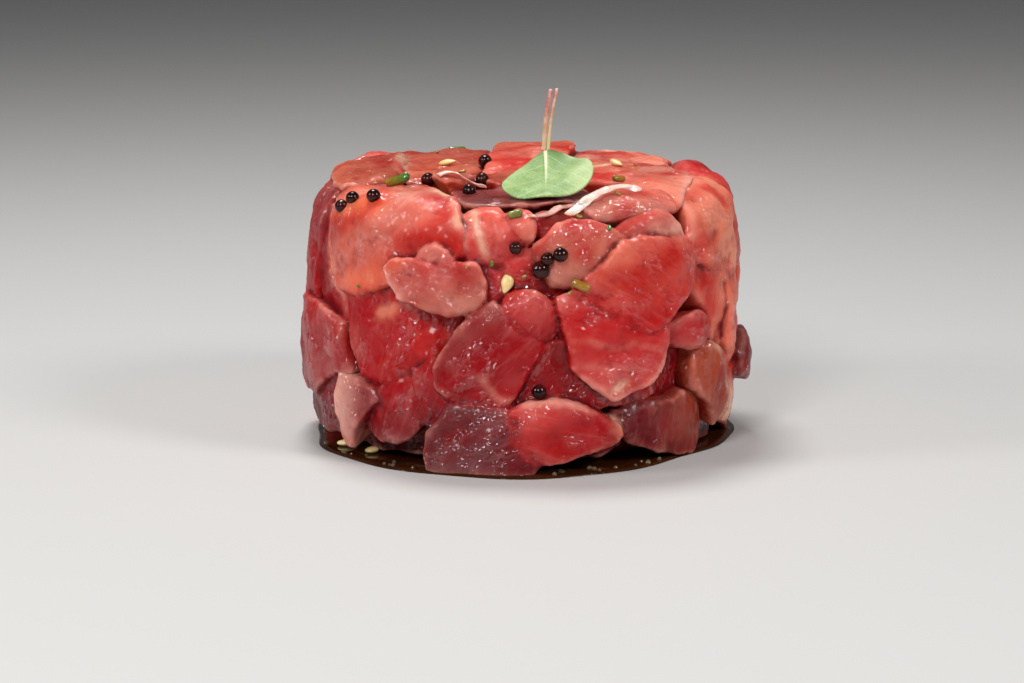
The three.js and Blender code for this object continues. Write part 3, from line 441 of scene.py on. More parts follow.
# where the wet film lies thickest and sparkles: runs on the wall and on top, half width and strength
glints = [
    ([(-14.5, 46.5), (-12.4, 44), (-11, 41)], 1.7, 1),
    ([(-26, 45.4), (-17, 44.6)], 1.3, 0.75),
    ([(-31, 40), (-27, 37), (-23, 35.4)], 2.8, 0.6),
    ([(-18.5, 32.5), (-13.5, 29.5)], 1.5, 0.9),
    ([(-14.6, 36), (-11, 34.6)], 1.4, 0.6),
    ([(-22, 27.6), (-18, 26), (-15, 24.6)], 0.9, 1),
    ([(-22.8, 31.4), (-20.8, 29.8)], 0.9, 1),
    ([(-7.8, 44), (-6.6, 40), (-6, 36)], 0.8, 0.7),
    ([(-4.5, 36), (-3, 33), (-2.6, 30)], 1.5, 1),
    ([(1.2, 31), (4.6, 28.6)], 1.4, 1),
    ([(9.6, 41), (14, 38)], 1.8, 1),
    ([(6, 41), (8.4, 39)], 1.1, 0.8),
    ([(16.5, 36.6), (23, 37.6), (30.4, 37.2)], 1.2, 1),
    ([(10, 30.6), (14, 28.2), (18, 26)], 1.2, 1),
    ([(5, 29.4), (6.6, 25)], 0.8, 1),
    ([(26.6, 23), (31, 24.4), (36.4, 23.2)], 1.2, 1),
    ([(33, 33), (36, 33.6), (40.4, 31.8)], 1.1, 1),
    ([(34, 18), (39.6, 18.4)], 0.9, 1),
    ([(36, 43.6), (38, 46.2), (43, 47.4)], 2.2, 0.9),
    ([(0.4, 10), (-4, 6), (-8.6, 2.6)], 1.5, 1),
    ([(-12, 12.8), (-7, 11.2), (-2.6, 11.4)], 1.1, 0.9),
    ([(-1, 11.6), (4, 12)], 0.9, 0.8),
    ([(-33.4, 13), (-31.6, 10), (-31.4, 5)], 1.7, 1),
    ([(-36.4, 21), (-34, 18), (-32.4, 15.4)], 1.1, 1),
    ([(-21.6, 15.6), (-17, 15)], 1.1, 1),
    ([(-20, 8.6), (-17, 6.4)], 1.2, 0.9),
    ([(-2.2, 27), (1, 28.8), (4.4, 27)], 1.9, 0.8),
    ([(24.8, 20), (24.2, 16.4)], 0.5, 1),
    ([(14.6, 12.6), (19.4, 13.8)], 0.7, 0.9),
    ([(30, 9.8), (35, 9.8), (37.4, 6)], 0.6, 0.7),
    ([(44.6, 15), (47, 9)], 1, 0.8),
]
topGlints = [
    ([(12.5, -30.4), (17, -29), (22, -27)], 2.8, 1),
    ([(15, 4), (21, -1)], 2, 0.8),
    ([(9, 20), (14, 17)], 2, 0.8),
    ([(23, 8), (27, -2)], 1.6, 0.9),
    ([(-30, -3), (-27.5, 3)], 1.6, 0.6),
    ([(-15, -9), (-11, -9)], 1.8, 0.8),
    ([(-2, 24), (5, 26)], 2, 0.6),
]


def middleOf(corners):
    return np.mean(np.asarray(corners, float), axis=0)


def lumpAt(a, b, phase):
    return (np.sin(0.62 * a + 0.31 * b + phase) * 0.6
            + np.sin(0.83 * b - 0.47 * a + 1.7 * phase) * 0.4)


# textures that the relief of the flesh is displaced with
def cloudTexture(name, size, depth=2):
    texture = bpy.data.textures.new(name, "CLOUDS")
    texture.noise_scale = size * mm
    texture.noise_depth = depth
    texture.noise_basis = "IMPROVED_PERLIN"
    return texture


lumpTexture = cloudTexture("soft_lumps", chunkMake["lump"][0], 1)
flakeTexture = cloudTexture("flakes", chunkMake["flake"][0], 2)
crinkleTexture = cloudTexture("crinkle", chunkMake["pressed"]["crinkle"][0], 2)
foldTexture = cloudTexture("folds", chunkMake["pressed"]["folds"][0], 2)
fibreGuide = bpy.data.objects.new("fibre_guide", None)
bpy.context.scene.collection.objects.link(fibreGuide)


# one chunk, cut flat on the board: its outline, a bevelled face, and relief along its fibres
def cutChunk(name, spec):
    corners = np.asarray(spec["corners"], float)
    middle = middleOf(corners)
    x, y = corners[:, 0], corners[:, 1]
    if np.sum(x * np.roll(y, -1) - y * np.roll(x, -1)) < 0:
        corners = corners[::-1]
    corners = middle + (corners - middle) * chunkMake["grow"]
    deselectAll()
    bpy.ops.mesh.primitive_circle_add(vertices=len(corners), radius=mm, fill_type="NGON")
    piece = bpy.context.object
    piece.name = name
    writePlaces(piece, np.column_stack([corners * mm, np.zeros(len(corners))]))
    deep = -min(spec["thick"], chunkMake["buried"]) * mm
    bpy.ops.object.mode_set(mode="EDIT")
    bpy.ops.mesh.select_all(action="SELECT")
    bpy.ops.mesh.extrude_region_move(TRANSFORM_OT_translate={"value": (0, 0, deep)})
    bpy.ops.transform.resize(value=(chunkMake["taper"],) * 2 + (1,))
    bpy.ops.mesh.select_all(action="SELECT")
    bpy.ops.mesh.normals_make_consistent(inside=False)
    bpy.ops.mesh.select_all(action="DESELECT")
    bpy.ops.object.mode_set(mode="OBJECT")
    for edge in piece.data.edges:
        edge.select = all(piece.data.vertices[v].co.z > deep / 2 for v in edge.vertices)
    bpy.ops.object.mode_set(mode="EDIT")
    bpy.ops.mesh.bevel(offset=chunkMake["bevel"] * mm, segments=2, affect="EDGES")
    bpy.ops.object.mode_set(mode="OBJECT")
    applyModifier(piece, "REMESH", mode="VOXEL", voxel_size=chunkMake["voxel"] * mm)
    relief = spec["relief"]
    fibreGuide.matrix_world = (Matrix.Rotation(math.radians(spec["fibre"]), 4, "Z")
                               @ Matrix.Diagonal(chunkMake["stretch"] + (1,)))
    bpy.context.view_layer.update()
    applyModifier(piece, "DISPLACE", texture=lumpTexture, strength=chunkMake["lump"][1] * mm)
    applyModifier(piece, "DISPLACE", texture=flakeTexture, strength=chunkMake["flake"][1] * relief * mm,
                  texture_coords="OBJECT", texture_coords_object=fibreGuide)
    applyModifier(piece, "SMOOTH", factor=0.5, iterations=chunkMake["smooth"])
    return piece


def nearPath(places, path):
    best = np.full(len(places), 1e9)
    for (a0, b0), (a1, b1) in zip(path[:-1], path[1:]):
        start, run = np.array([a0, b0]), np.array([a1 - a0, b1 - b0])
        along = np.clip((places - start) @ run / (run @ run), 0, 1)
        best = np.minimum(best, np.linalg.norm(places - start - along[:, None] * run, axis=1))
    return best


# the middle of a laid chunk and three directions there: along its fibres, across them and outwards
def fibreFrame(spec, skinAt):
    middle = middleOf(spec["corners"])
    turn = math.radians(spec["fibre"])
    run = np.array([math.cos(turn), math.sin(turn)])
    centre, ahead = skinAt(*middle), skinAt(*(middle + run))
    out = outFrom(centre)
    along = ahead - centre
    along -= out * (along @ out)
    along /= np.linalg.norm(along)
    return np.stack([centre, along, np.cross(out, along), out])


# bends a flat chunk round the drum and paints its colours
def layChunk(piece, spec, skinAt, marks, wetMarks, phase):
    places = readPlaces(piece) / mm
    flat, lift = places[:, :2], places[:, 2]
    middle = middleOf(spec["corners"])
    off = flat - middle
    reach = np.sqrt(np.mean(np.sum((np.asarray(spec["corners"]) - middle) ** 2, axis=1)))
    away = np.linalg.norm(off, axis=1) / reach
    rise = off @ np.array(spec["lean"]) + chunkMake["lumpHigh"] * lumpAt(flat[:, 0], flat[:, 1], phase)
    rise += spec["dome"] * np.clip(1 - away ** 2, -0.3, 1)
    skin = skinAt(flat[:, 0], flat[:, 1])
    placed = skin + outFrom(skin) * (lift + spec["out"] + rise)[:, None]
    placed[:, 2] = np.maximum(placed[:, 2], ofGround)
    writePlaces(piece, placed * mm)

    tone = np.tile(np.array(flesh[spec["tone"]]), (len(flat), 1))
    other, turn = spec["fade"]
    ray = np.array([math.cos(math.radians(turn)), math.sin(math.radians(turn))])
    share = np.clip(0.5 + off @ ray / reach * 0.75, 0, 1)[:, None]
    tone = tone * (1 - share) + np.array(flesh[other]) * share
    wobble = 1 + 0.4 * np.sin(flat[:, 0] * 2.3 + 1.4 * np.sin(flat[:, 1] * 1.7)) * np.cos(flat[:, 1] * 2.9)
    for path, wide, colour, mix in marks:
        near = nearPath(flat, path) / wide * wobble
        near = np.clip(1.4 - near, 0, 1)[:, None] * mix
        tone = tone * (1 - near) + np.array(flesh[colour]) * near
    wet = np.zeros(len(flat))
    for path, wide, mix in wetMarks:
        near = nearPath(flat, path) / wide
        wet = np.maximum(wet, np.clip(1.5 - near, 0, 1) * mix)
    return np.column_stack([placed * mm, tone, wet, np.full(len(flat), phase)])


# joins chunks that lie together, lets their wet edges close up, and brings their colours across
def pressTogether(pieces, samples, frames, name):
    press = chunkMake["pressed"]
    heap = joinPieces(pieces, name)
    applyModifier(heap, "REMESH", mode="VOXEL", voxel_size=press["voxel"] * mm)
    applyModifier(heap, "SMOOTH", factor=0.5, iterations=press["smooth"])
    applyModifier(heap, "DISPLACE", texture=foldTexture, strength=press["folds"][1] * mm)
    applyModifier(heap, "DISPLACE", texture=crinkleTexture, strength=press["crinkle"][1] * mm)
    places = readPlaces(heap)
    places[:, 2] = np.maximum(places[:, 2], ofGround * mm)
    writePlaces(heap, places)

    rows = np.concatenate(samples)
    finder = KDTree(len(rows))
    for i, place in enumerate(rows[:, :3]):
        finder.insert(place, i)
    finder.balance()
    tones = np.empty((len(places), 4))
    owner = np.empty(len(places), int)
    for i, place in enumerate(places):
        near = finder.find_n(place, press["near"])
        picks = [hit[1] for hit in near]
        weights = np.array([1 / (hit[2] + press["blur"] * mm) for hit in near])
        tones[i] = weights @ rows[picks, 3:7] / weights.sum()
        owner[i] = rows[picks[0], 7]

    # the run of the fibres, measured in the frame of the chunk that each point belongs to
    frame = np.array([frames[phase] for phase in owner])
    away = places / mm - frame[:, 0]
    fibres = np.stack([np.sum(away * frame[:, axis], axis=1) for axis in (1, 2, 3)], -1)
    fibres += owner[:, None] * np.array([37.0, 53.0, 29.0])

    # how far a point lies under (hollow) or over (ridge) the skin that smoothing gives, near by and wide
    normals = np.empty(len(places) * 3)
    heap.data.vertices.foreach_get("normal", normals)
    normals = normals.reshape(-1, 3)
    depths = {}
    for label in ("hollow", "deep"):
        soft = heap.copy()
        soft.data = heap.data.copy()
        bpy.context.scene.collection.objects.link(soft)
        applyModifier(soft, "SMOOTH", factor=1.0, iterations=press[label])
        depths[label] = np.sum((readPlaces(soft) - places) * normals, axis=1) / mm
        bpy.data.objects.remove(soft)

    # painted sheen: what faces up or stands proud is painted paler, as if lit from above; deep places are
    # painted a dark saturated red, as painted shade, in the material
    paintedSheen = press["paintedSheen"]
    share = paintedSheen["up"] * np.clip((normals[:, 2] - 0.15) / 0.7, 0, 1)
    share += paintedSheen["proud"] * np.clip((-depths["deep"] - 0.35) / 0.6, 0, 1)
    tones[:, :3] += share[:, None] * (np.array(flesh["pale"]) - tones[:, :3])
    paint(heap, "flesh", "FLOAT_COLOR", "color", np.column_stack([tones[:, :3], np.ones(len(tones))]))
    paint(heap, "wet", "FLOAT", "value", tones[:, 3])
    paint(heap, "fibre", "FLOAT_VECTOR", "vector", fibres * mm)
    for label, depth in depths.items():
        paint(heap, label, "FLOAT", "value", depth)
    smoothShade(heap)
    applyModifier(heap, "DECIMATE", ratio=chunkMake["pressed"]["keep"])  # flat stretches need fewer faces
    return heap


groupEdges = {"front": (-52, 52), "right": (52, 118), "back_right": (118, 180), "back_left": (180, 242),
              "left": (242, 308)}


def groupOf(spec, top):
    a, b = middleOf(spec["corners"])
    if top:
        return "top_front" if b < -2 else "top_back"
    turn = math.degrees(a / drum["radius"])
    for name, (start, end) in groupEdges.items():
        if start <= turn < end or start <= turn + 360 < end:
            return name


def buildChunks():
    groups, frames = {}, {}
    laid = [(name, spec, False) for name, spec in wallChunks.items()]
    laid += [(name, spec, False) for name, spec in backChunks().items()]
    laid += [(name, spec, True) for name, spec in topChunks.items()]
    for phase, (name, spec, top) in enumerate(laid):
        piece = cutChunk(name, spec)
        skinAt = onTop if top else onWall
        painted = (topStrokes, topGlints) if top else (strokes, glints)
        rows = layChunk(piece, spec, skinAt, *painted, phase)
        frames[phase] = fibreFrame(spec, skinAt)
        groups.setdefault(groupOf(spec, top), []).append((piece, rows))
    heaps = []
    for group, members in groups.items():
        pieces, samples = zip(*members)
        heap = pressTogether(list(pieces), samples, frames, f"tuna_{group}")
        heaps.append(heap)
        print("pressed", group, len(pieces), "chunks", len(heap.data.polygons), "faces")
    return heaps


# the packed middle, coloured nearly black as painted shade that shows in the deepest gaps
core = {"radius": 31, "height": 40, "bevel": 6, "rounds": 5, "sides": 64, "voxel": 1.2, "lumps": 1.5}


def buildCore():
    deselectAll()
    bpy.ops.mesh.primitive_cylinder_add(vertices=core["sides"], radius=core["radius"] * mm,
                                        depth=core["height"] * mm,
                                        location=(0, 0, core["height"] / 2 * mm))
    piece = bpy.context.object
    bpy.ops.object.transform_apply(location=True, rotation=True, scale=True)
    for edge in piece.data.edges:
        edge.select = all(piece.data.vertices[v].co.z > core["height"] / 2 * mm for v in edge.vertices)
    bpy.ops.object.mode_set(mode="EDIT")
    bpy.ops.mesh.bevel(offset=core["bevel"] * mm, segments=core["rounds"], affect="EDGES")
    bpy.ops.object.mode_set(mode="OBJECT")
    applyModifier(piece, "REMESH", mode="VOXEL", voxel_size=core["voxel"] * mm)
    applyModifier(piece, "DISPLACE", texture=lumpTexture, strength=core["lumps"] * mm)
    places = readPlaces(piece)
    places[:, 2] = np.maximum(places[:, 2], 0)
    writePlaces(piece, places)
    smoothShade(piece)
    return joinPieces([piece], "tuna_core")


def newGroup(name, inputs, outputs):
    group = bpy.data.node_groups.new(name, "ShaderNodeTree")
    for label, kind, value in inputs:
        socket = group.interface.new_socket(label, in_out="INPUT", socket_type=kind)
        if value is not None:
            socket.default_value = value
    for label, kind in outputs:
        group.interface.new_socket(label, in_out="OUTPUT", socket_type=kind)
    return group, group.nodes.new("NodeGroupInput"), group.nodes.new("NodeGroupOutput")


def addNode(tree, kind, **values):
    node = tree.nodes.new(kind)
    for key, value in values.items():
        if hasattr(node, key):
            setattr(node, key, value)
        else:
            node.inputs[key.replace("_", " ")].default_value = value
    return node


def mixColour(tree, factor, first, second, blend="MIX"):
    node = tree.nodes.new("ShaderNodeMix")
    node.data_type = "RGBA"
    node.blend_type = blend
    for socket, value in ((node.inputs[0], factor), (node.inputs[6], first), (node.inputs[7], second)):
        if isinstance(value, bpy.types.NodeSocket):
            tree.links.new(value, socket)
        elif isinstance(value, tuple):
            socket.default_value = value + (1,) * (4 - len(value))
        else:
            socket.default_value = value
    return node.outputs[2]


def mathNode(tree, operation, *values, clamp=False):
    node = tree.nodes.new("ShaderNodeMath")
    node.operation = operation
    node.use_clamp = clamp
    for socket, value in zip(node.inputs, values):
        if isinstance(value, bpy.types.NodeSocket):
            tree.links.new(value, socket)
        else:
            socket.default_value = value
    return node.outputs[0]


def mapRange(tree, value, low, high, outLow=0.0, outHigh=1.0):
    node = tree.nodes.new("ShaderNodeMapRange")
    tree.links.new(value, node.inputs["Value"])
    for label, number in (("From Min", low), ("From Max", high), ("To Min", outLow), ("To Max", outHigh)):
        node.inputs[label].default_value = number
    return node.outputs["Result"]


def noiseNode(tree, vector, scale, detail=2.0, rough=0.5):
    node = addNode(tree, "ShaderNodeTexNoise", Scale=scale, Detail=detail, Roughness=rough)
    tree.links.new(vector, node.inputs["Vector"])
    return node.outputs["Fac"]


# tiny wet bumps that sparkle where a film lies: in painted places, and in patches of noise
def wetGrainGroup():
    group, start, end = newGroup("wet grain", [
        ("Vector", "NodeSocketVector", None), ("Wet", "NodeSocketFloat", 0.0),
        ("Grain Size", "NodeSocketFloat", 1.05), ("Patch Size", "NodeSocketFloat", 5.0),
        ("Spread", "NodeSocketFloat", 1.0)], [("Height", "NodeSocketFloat"), ("Patch", "NodeSocketFloat")])
    grains = addNode(group, "ShaderNodeTexNoise", Detail=1.0, Roughness=0.5)
    patches = addNode(group, "ShaderNodeTexNoise", Detail=3.0, Roughness=0.6)
    for node, size in ((grains, "Grain Size"), (patches, "Patch Size")):
        group.links.new(start.outputs["Vector"], node.inputs["Vector"])
        group.links.new(mathNode(group, "DIVIDE", 1000.0, start.outputs[size]), node.inputs["Scale"])
    loose = mapRange(group, patches.outputs["Fac"], 0.5, 0.6)
    loose = mathNode(group, "MULTIPLY", loose, start.outputs["Spread"])
    ragged = mapRange(group, patches.outputs["Fac"], 0.4, 0.55, -0.45, 0.1)
    laid = mathNode(group, "ADD", start.outputs["Wet"], ragged, clamp=True)
    laid = mathNode(group, "MULTIPLY", laid, mapRange(group, start.outputs["Wet"], 0.0, 0.1))
    patch = mathNode(group, "MAXIMUM", loose, laid)
    height = mathNode(group, "MULTIPLY", grains.outputs["Fac"], mapRange(group, patch, 0, 1, 0.2, 1.0))
    group.links.new(height, end.inputs["Height"])
    group.links.new(patch, end.inputs["Patch"])
    return group


wetGrain = wetGrainGroup()


def newMaterial(name):
    material = bpy.data.materials.new(name)
    material.use_nodes = True
    tree = material.node_tree
    return material, tree, tree.nodes["Principled BSDF"]


def setShader(shader, **values):
    for key, value in values.items():
        shader.inputs[key.replace("_", " ")].default_value = value


def bumpNode(tree, height, strength, distance):
    node = addNode(tree, "ShaderNodeBump", Strength=strength, Distance=distance * mm)
    tree.links.new(height, node.inputs["Height"])
    return node.outputs["Normal"]


# the colours for thin edges, deep places and creases are painted light and painted shade
fleshLook = {
    "saturated": (0.80, 0.26, 0.26), "frosted": (0.80, 0.34, 0.28), "paleRun": (0.78, 0.30, 0.25),
    "darkRun": (0.30, 0.006, 0.010), "paintedEdgeLight": (0.82, 0.40, 0.32), "depths": (0.30, 0.004, 0.008),
    "paintedCreaseShade": (0.12, 0.002, 0.004), "roughness": 0.38,
    "scatter": 0.55, "scatterRadius": (1.0, 0.22, 0.14), "scatterReach": 2.2 * mm,
    "grain": 1.0, "patch": 4.0, "grainHigh": 0.95, "spread": 1.05, "wetLeast": 0.22, "wetGloss": 0.06,
    "fibreBump": 0.3, "fibreHigh": 0.1,
}


def fleshMaterial():
    material, tree, shader = newMaterial("tuna_flesh")
    colour = addNode(tree, "ShaderNodeAttribute", attribute_name="flesh").outputs["Color"]
    fibre = addNode(tree, "ShaderNodeAttribute", attribute_name="fibre").outputs["Vector"]
    hollow = addNode(tree, "ShaderNodeAttribute", attribute_name="hollow").outputs["Fac"]
    deep = addNode(tree, "ShaderNodeAttribute", attribute_name="deep").outputs["Fac"]
    wet = addNode(tree, "ShaderNodeAttribute", attribute_name="wet").outputs["Fac"]

    def stretched(*sizes):
        node = addNode(tree, "ShaderNodeVectorMath", operation="MULTIPLY")
        node.inputs[1].default_value = sizes
        tree.links.new(fibre, node.inputs[0])
        return node.outputs[0]

    # saturated and frosted places, then flecks, then the faint run of the muscle
    mottle = noiseNode(tree, fibre, 120, 1, 0.5)
    mixed = mixColour(tree, mapRange(tree, mottle, 0.52, 0.34), colour,
                      mixColour(tree, 1.0, colour, fleshLook["saturated"], "MULTIPLY"))
    mixed = mixColour(tree, mapRange(tree, mottle, 0.55, 0.72, 0.0, 0.12), mixed, fleshLook["frosted"])
    streak = noiseNode(tree, stretched(0.12, 1, 0.5), 900, 3, 0.6)
    mixed = mixColour(tree, mapRange(tree, streak, 0.54, 0.8, 0.0, 0.16), mixed, fleshLook["paleRun"])
    mixed = mixColour(tree, mapRange(tree, streak, 0.46, 0.25, 0.0, 0.2), mixed, fleshLook["darkRun"])

    # painted light and shade: ridges and thin edges are painted paler, as light showing through them; deep
    # places are painted a dark saturated red and creases a near-black red, as painted shade
    mixed = mixColour(tree, mapRange(tree, hollow, -0.16, -0.4, 0.0, 0.3), mixed, fleshLook["paintedEdgeLight"])
    mixed = mixColour(tree, mapRange(tree, deep, -0.1, 0.6, 0.0, 0.8), mixed, fleshLook["depths"])
    mixed = mixColour(tree, mapRange(tree, hollow, 0.04, 0.25, 0.0, 0.8), mixed, fleshLook["paintedCreaseShade"])
    tree.links.new(mixed, shader.inputs["Base Color"])

    # a wet film over it all, beaded in patches, thinner where it is seen edge on
    grain = addNode(tree, "ShaderNodeGroup", node_tree=wetGrain)
    tree.links.new(stretched(0.6, 1, 0.8), grain.inputs["Vector"])
    tree.links.new(wet, grain.inputs["Wet"])
    grain.inputs["Grain Size"].default_value = fleshLook["grain"]
    grain.inputs["Patch Size"].default_value = fleshLook["patch"]
    grain.inputs["Spread"].default_value = fleshLook["spread"]
    tree.links.new(bumpNode(tree, streak, fleshLook["fibreBump"], fleshLook["fibreHigh"]),
                   shader.inputs["Normal"])
    tree.links.new(bumpNode(tree, grain.outputs["Height"], 1.0, fleshLook["grainHigh"]),
                   shader.inputs["Coat Normal"])
    film = mapRange(tree, grain.outputs["Patch"], 0, 1, fleshLook["wetLeast"], 1.0)
    edgeOn = addNode(tree, "ShaderNodeLayerWeight", Blend=0.5).outputs["Facing"]
    film = mathNode(tree, "MULTIPLY", film, mapRange(tree, edgeOn, 0.5, 0.9, 1.0, 0.25))
    tree.links.new(film, shader.inputs["Coat Weight"])
    setShader(shader, Subsurface_Weight=fleshLook["scatter"], Subsurface_Radius=fleshLook["scatterRadius"],
              Subsurface_Scale=fleshLook["scatterReach"], Roughness=fleshLook["roughness"], IOR=1.16,
              Coat_Roughness=fleshLook["wetGloss"], Coat_IOR=1.6)
    return material


def coreMaterial():
    material, tree, shader = newMaterial("tuna_shade")
    place = addNode(tree, "ShaderNodeTexCoord").outputs["Object"]
    mottle = noiseNode(tree, place, 300, 3, 0.6)
    # painted shade: the middle is coloured nearly black so that the gaps between chunks read as deep shadow
    dark = mixColour(tree, mottle, (0.05, 0.001, 0.002), (0.16, 0.006, 0.008))
    tree.links.new(dark, shader.inputs["Base Color"])
    setShader(shader, Roughness=0.3, IOR=1.4)
    return material


def treeOf(pieces):
    points, faces = [], []
    for piece in pieces:
        base = len(points)
        points += [v.co.copy() for v in piece.data.vertices]
        faces += [[base + i for i in polygon.vertices] for polygon in piece.data.polygons]
    return BVHTree.FromPolygons(points, faces)


probe = {"around": 6, "out": 0.02, "over": 0.08}  # rays round the first one, and where they start, metres


# where something laid on the drum meets the tuna: the highest of what lies round it, never a crack
def restOn(skin, near=0.45):
    skin = np.asarray(skin, float)
    inwards = Vector(-outFrom(skin))
    side = inwards.orthogonal().normalized()
    other = inwards.cross(side)
    hits = []
    for i in range(probe["around"] + 1):
        turn = i * math.pi / 3
        step = (side * math.cos(turn) + other * math.sin(turn)) * (near * mm if i else 0)
        start = Vector(skin * mm) - inwards * probe["out"] + step
        place, normal, _, reach = tunaTree.ray_cast(start, inwards)
        if place is not None:
            hits.append((reach, place - step, normal))
    _, place, normal = min(hits, key=lambda hit: hit[0])
    if normal.dot(inwards) > 0:
        normal = -normal
    return place, (normal * 0.5 - inwards * 0.5).normalized()


def groundBelow(x, y):
    place, _, _, _ = tunaTree.ray_cast(Vector((x, y, probe["over"])), Vector((0, 0, -1)))
    return place.z


def setDown(model, place, up, turn, size=1.0):
    copy = model.copy()
    copy.data = model.data.copy()
    bpy.context.scene.collection.objects.link(copy)
    facing = Vector((0, 0, 1)).rotation_difference(up).to_matrix().to_4x4()
    turned = Matrix.Rotation(turn, 4, "Z") @ Matrix.Scale(size, 4)
    copy.data.transform(Matrix.Translation(place) @ facing @ turned)
    return copy


mustard = {
    "radius": 1.15,
    "wall": [(-36.6, 41.2), (-35.3, 43.2), (-29.2, 44.2), (-0.9, 37.2), (4.1, 35), (6.1, 35.4), (2.9, 13.5)],
    "top": [(-17.6, -5.4), (-15.7, -5.4), (-8.6, -18.4), (-5.8, 7.4), (-6.4, -7.8)],
    "back": [(78, 33), (92, 41.5), (110, 23), (128, 36), (141, 15)],
    "bigAt": (3.1, 33.4), "bigSize": 1.3, "seed": 3, "vary": (0.94, 1.06), "lift": 0.12, "dents": (0.9, 0.12),
}


def buildMustard():
    deselectAll()
    bpy.ops.mesh.primitive_ico_sphere_add(subdivisions=4, radius=mustard["radius"] * mm)
    model = bpy.context.object
    applyModifier(model, "DISPLACE", texture=cloudTexture("seed_dents", mustard["dents"][0], 1),
                  strength=mustard["dents"][1] * mm)
    smoothShade(model)
    rolls = random.Random(mustard["seed"])
    seeds = []
    spots = [(onWall(*spot), 1.0) for spot in mustard["wall"] + mustard["back"]]
    spots += [(onTop(*spot), 1.0) for spot in mustard["top"]]
    spots.append((onWall(*mustard["bigAt"]), mustard["bigSize"]))
    for skin, size in spots:
        place, up = restOn(skin)
        size *= rolls.uniform(*mustard["vary"])
        seat = place + up * mustard["radius"] * mustard["lift"] * size * mm
        seeds.append(setDown(model, seat, up, rolls.uniform(0, 6.28), size))
    bpy.data.objects.remove(model)
    return joinPieces(seeds, "mustard_seeds")


sesame = {
    "long": 3.1, "wide": 2.1, "thick": 1.1, "narrows": 0.42, "point": 0.25, "lift": 0.2, "dents": (0.8, 0.08),
    "wall": [(-2.4, 31.7, -1.7), (84, 26, 2.1), (119, 40.6, 0.9)],
    "top": [(-12.2, 6.8, -0.5), (15.6, 5, -1.1)],
    "ground": [(-29.2, -15.6, 0.4, 0.2), (-24.6, -21.4, 0.4, 0.95)],
}


def buildSesame():
    deselectAll()
    bpy.ops.mesh.primitive_uv_sphere_add(segments=28, ring_count=16, radius=0.5 * mm)
    model = bpy.context.object
    places = readPlaces(model) / mm
    # a drop: blunt at one end and drawn to a point at the other
    waist = 1 - sesame["narrows"] * np.clip(places[:, 0] * 2, 0, 1) ** 1.5
    drawn = sesame["point"] * np.clip(places[:, 0] * 2, 0, 1) ** 3
    places[:, 0] = places[:, 0] * sesame["long"] + drawn
    places[:, 1] *= sesame["wide"] * waist
    places[:, 2] *= sesame["thick"] * waist
    writePlaces(model, places * mm)
    applyModifier(model, "DISPLACE", texture=cloudTexture("sesame_dents", sesame["dents"][0], 1),
                  strength=sesame["dents"][1] * mm)
    smoothShade(model)
    grains = []
    for skinAt, spots in ((onWall, sesame["wall"]), (onTop, sesame["top"])):
        for a, b, turn in spots:
            place, up = restOn(skinAt(a, b))
            grains.append(setDown(model, place + up * sesame["thick"] * sesame["lift"] * mm, up, turn))
    for x, y, z, turn in sesame["ground"]:
        seat = Vector((x, y, z + sesame["thick"] / 2)) * mm
        grains.append(setDown(model, seat, Vector((0, 0, 1)), turn))
    bpy.data.objects.remove(model)
    return joinPieces(grains, "sesame_seeds")


chives = [
    {"top": (-20.2, -11.5), "turn": -0.15, "long": 4.6, "radius": 0.8, "ripe": (0.9, 0)},
    {"wall": (-1.1, 42.4), "turn": 0.15, "long": 2.6, "radius": 0.65, "ripe": (0.7, 0.2)},
    {"top": (15.8, -11), "turn": 0.5, "long": 2.4, "radius": 0.55, "ripe": (0.6, 1)},
    {"wall": (9.3, 30.4), "turn": -0.45, "long": 3.4, "radius": 0.75, "ripe": (0.8, 1.2)},
    {"top": (-11, 31), "turn": 0.2, "long": 3.4, "radius": 0.7, "ripe": (0, 0.3)},
    {"wall": (104, 33), "turn": 0.8, "long": 3.4, "radius": 0.75, "ripe": (0, 0.4)},
    {"wall": (132, 21), "turn": -0.5, "long": 3, "radius": 0.7, "ripe": (0.6, 1)},
]


chiveMake = {"sides": 20, "wall": 0.3, "hollow": 0.6, "bow": 0.05, "pinch": 0.08, "lift": 0.2, "near": 0.35}


# a snipped length of chive: a tube with its hollow, bevelled at both cut ends and slightly bowed
def snipChive(spec):
    deselectAll()
    bpy.ops.mesh.primitive_cylinder_add(vertices=chiveMake["sides"], radius=spec["radius"] * mm,
                                        depth=spec["long"] * mm, end_fill_type="NGON",
                                        rotation=(0, math.pi / 2, 0))
    piece = bpy.context.object
    bpy.ops.object.transform_apply(location=True, rotation=True, scale=True)
    bpy.ops.object.mode_set(mode="EDIT")
    bpy.ops.mesh.select_all(action="DESELECT")
    bpy.ops.object.mode_set(mode="OBJECT")
    for polygon in piece.data.polygons:
        polygon.select = abs(polygon.normal.x) > 0.9
    bpy.ops.object.mode_set(mode="EDIT")
    bpy.ops.mesh.inset(thickness=spec["radius"] * chiveMake["wall"] * mm)
    bpy.ops.mesh.extrude_region_shrink_fatten(
        TRANSFORM_OT_shrink_fatten={"value": -chiveMake["hollow"] * mm})
    bpy.ops.mesh.select_all(action="SELECT")
    bpy.ops.mesh.subdivide(number_cuts=2)
    bpy.ops.object.mode_set(mode="OBJECT")
    places = readPlaces(piece) / mm
    places[:, 2] += chiveMake["bow"] * places[:, 0] ** 2
    places[:, 1] *= 1 + chiveMake["pinch"] * np.sin(places[:, 0] * 1.7)
    writePlaces(piece, places * mm)
    applyModifier(piece, "SUBSURF", levels=1, render_levels=1)
    along = readPlaces(piece)[:, 0] / mm / spec["long"] + 0.5
    start, end = spec["ripe"]
    paint(piece, "ripe", "FLOAT", "value", start + (end - start) * along)
    smoothShade(piece)
    return piece


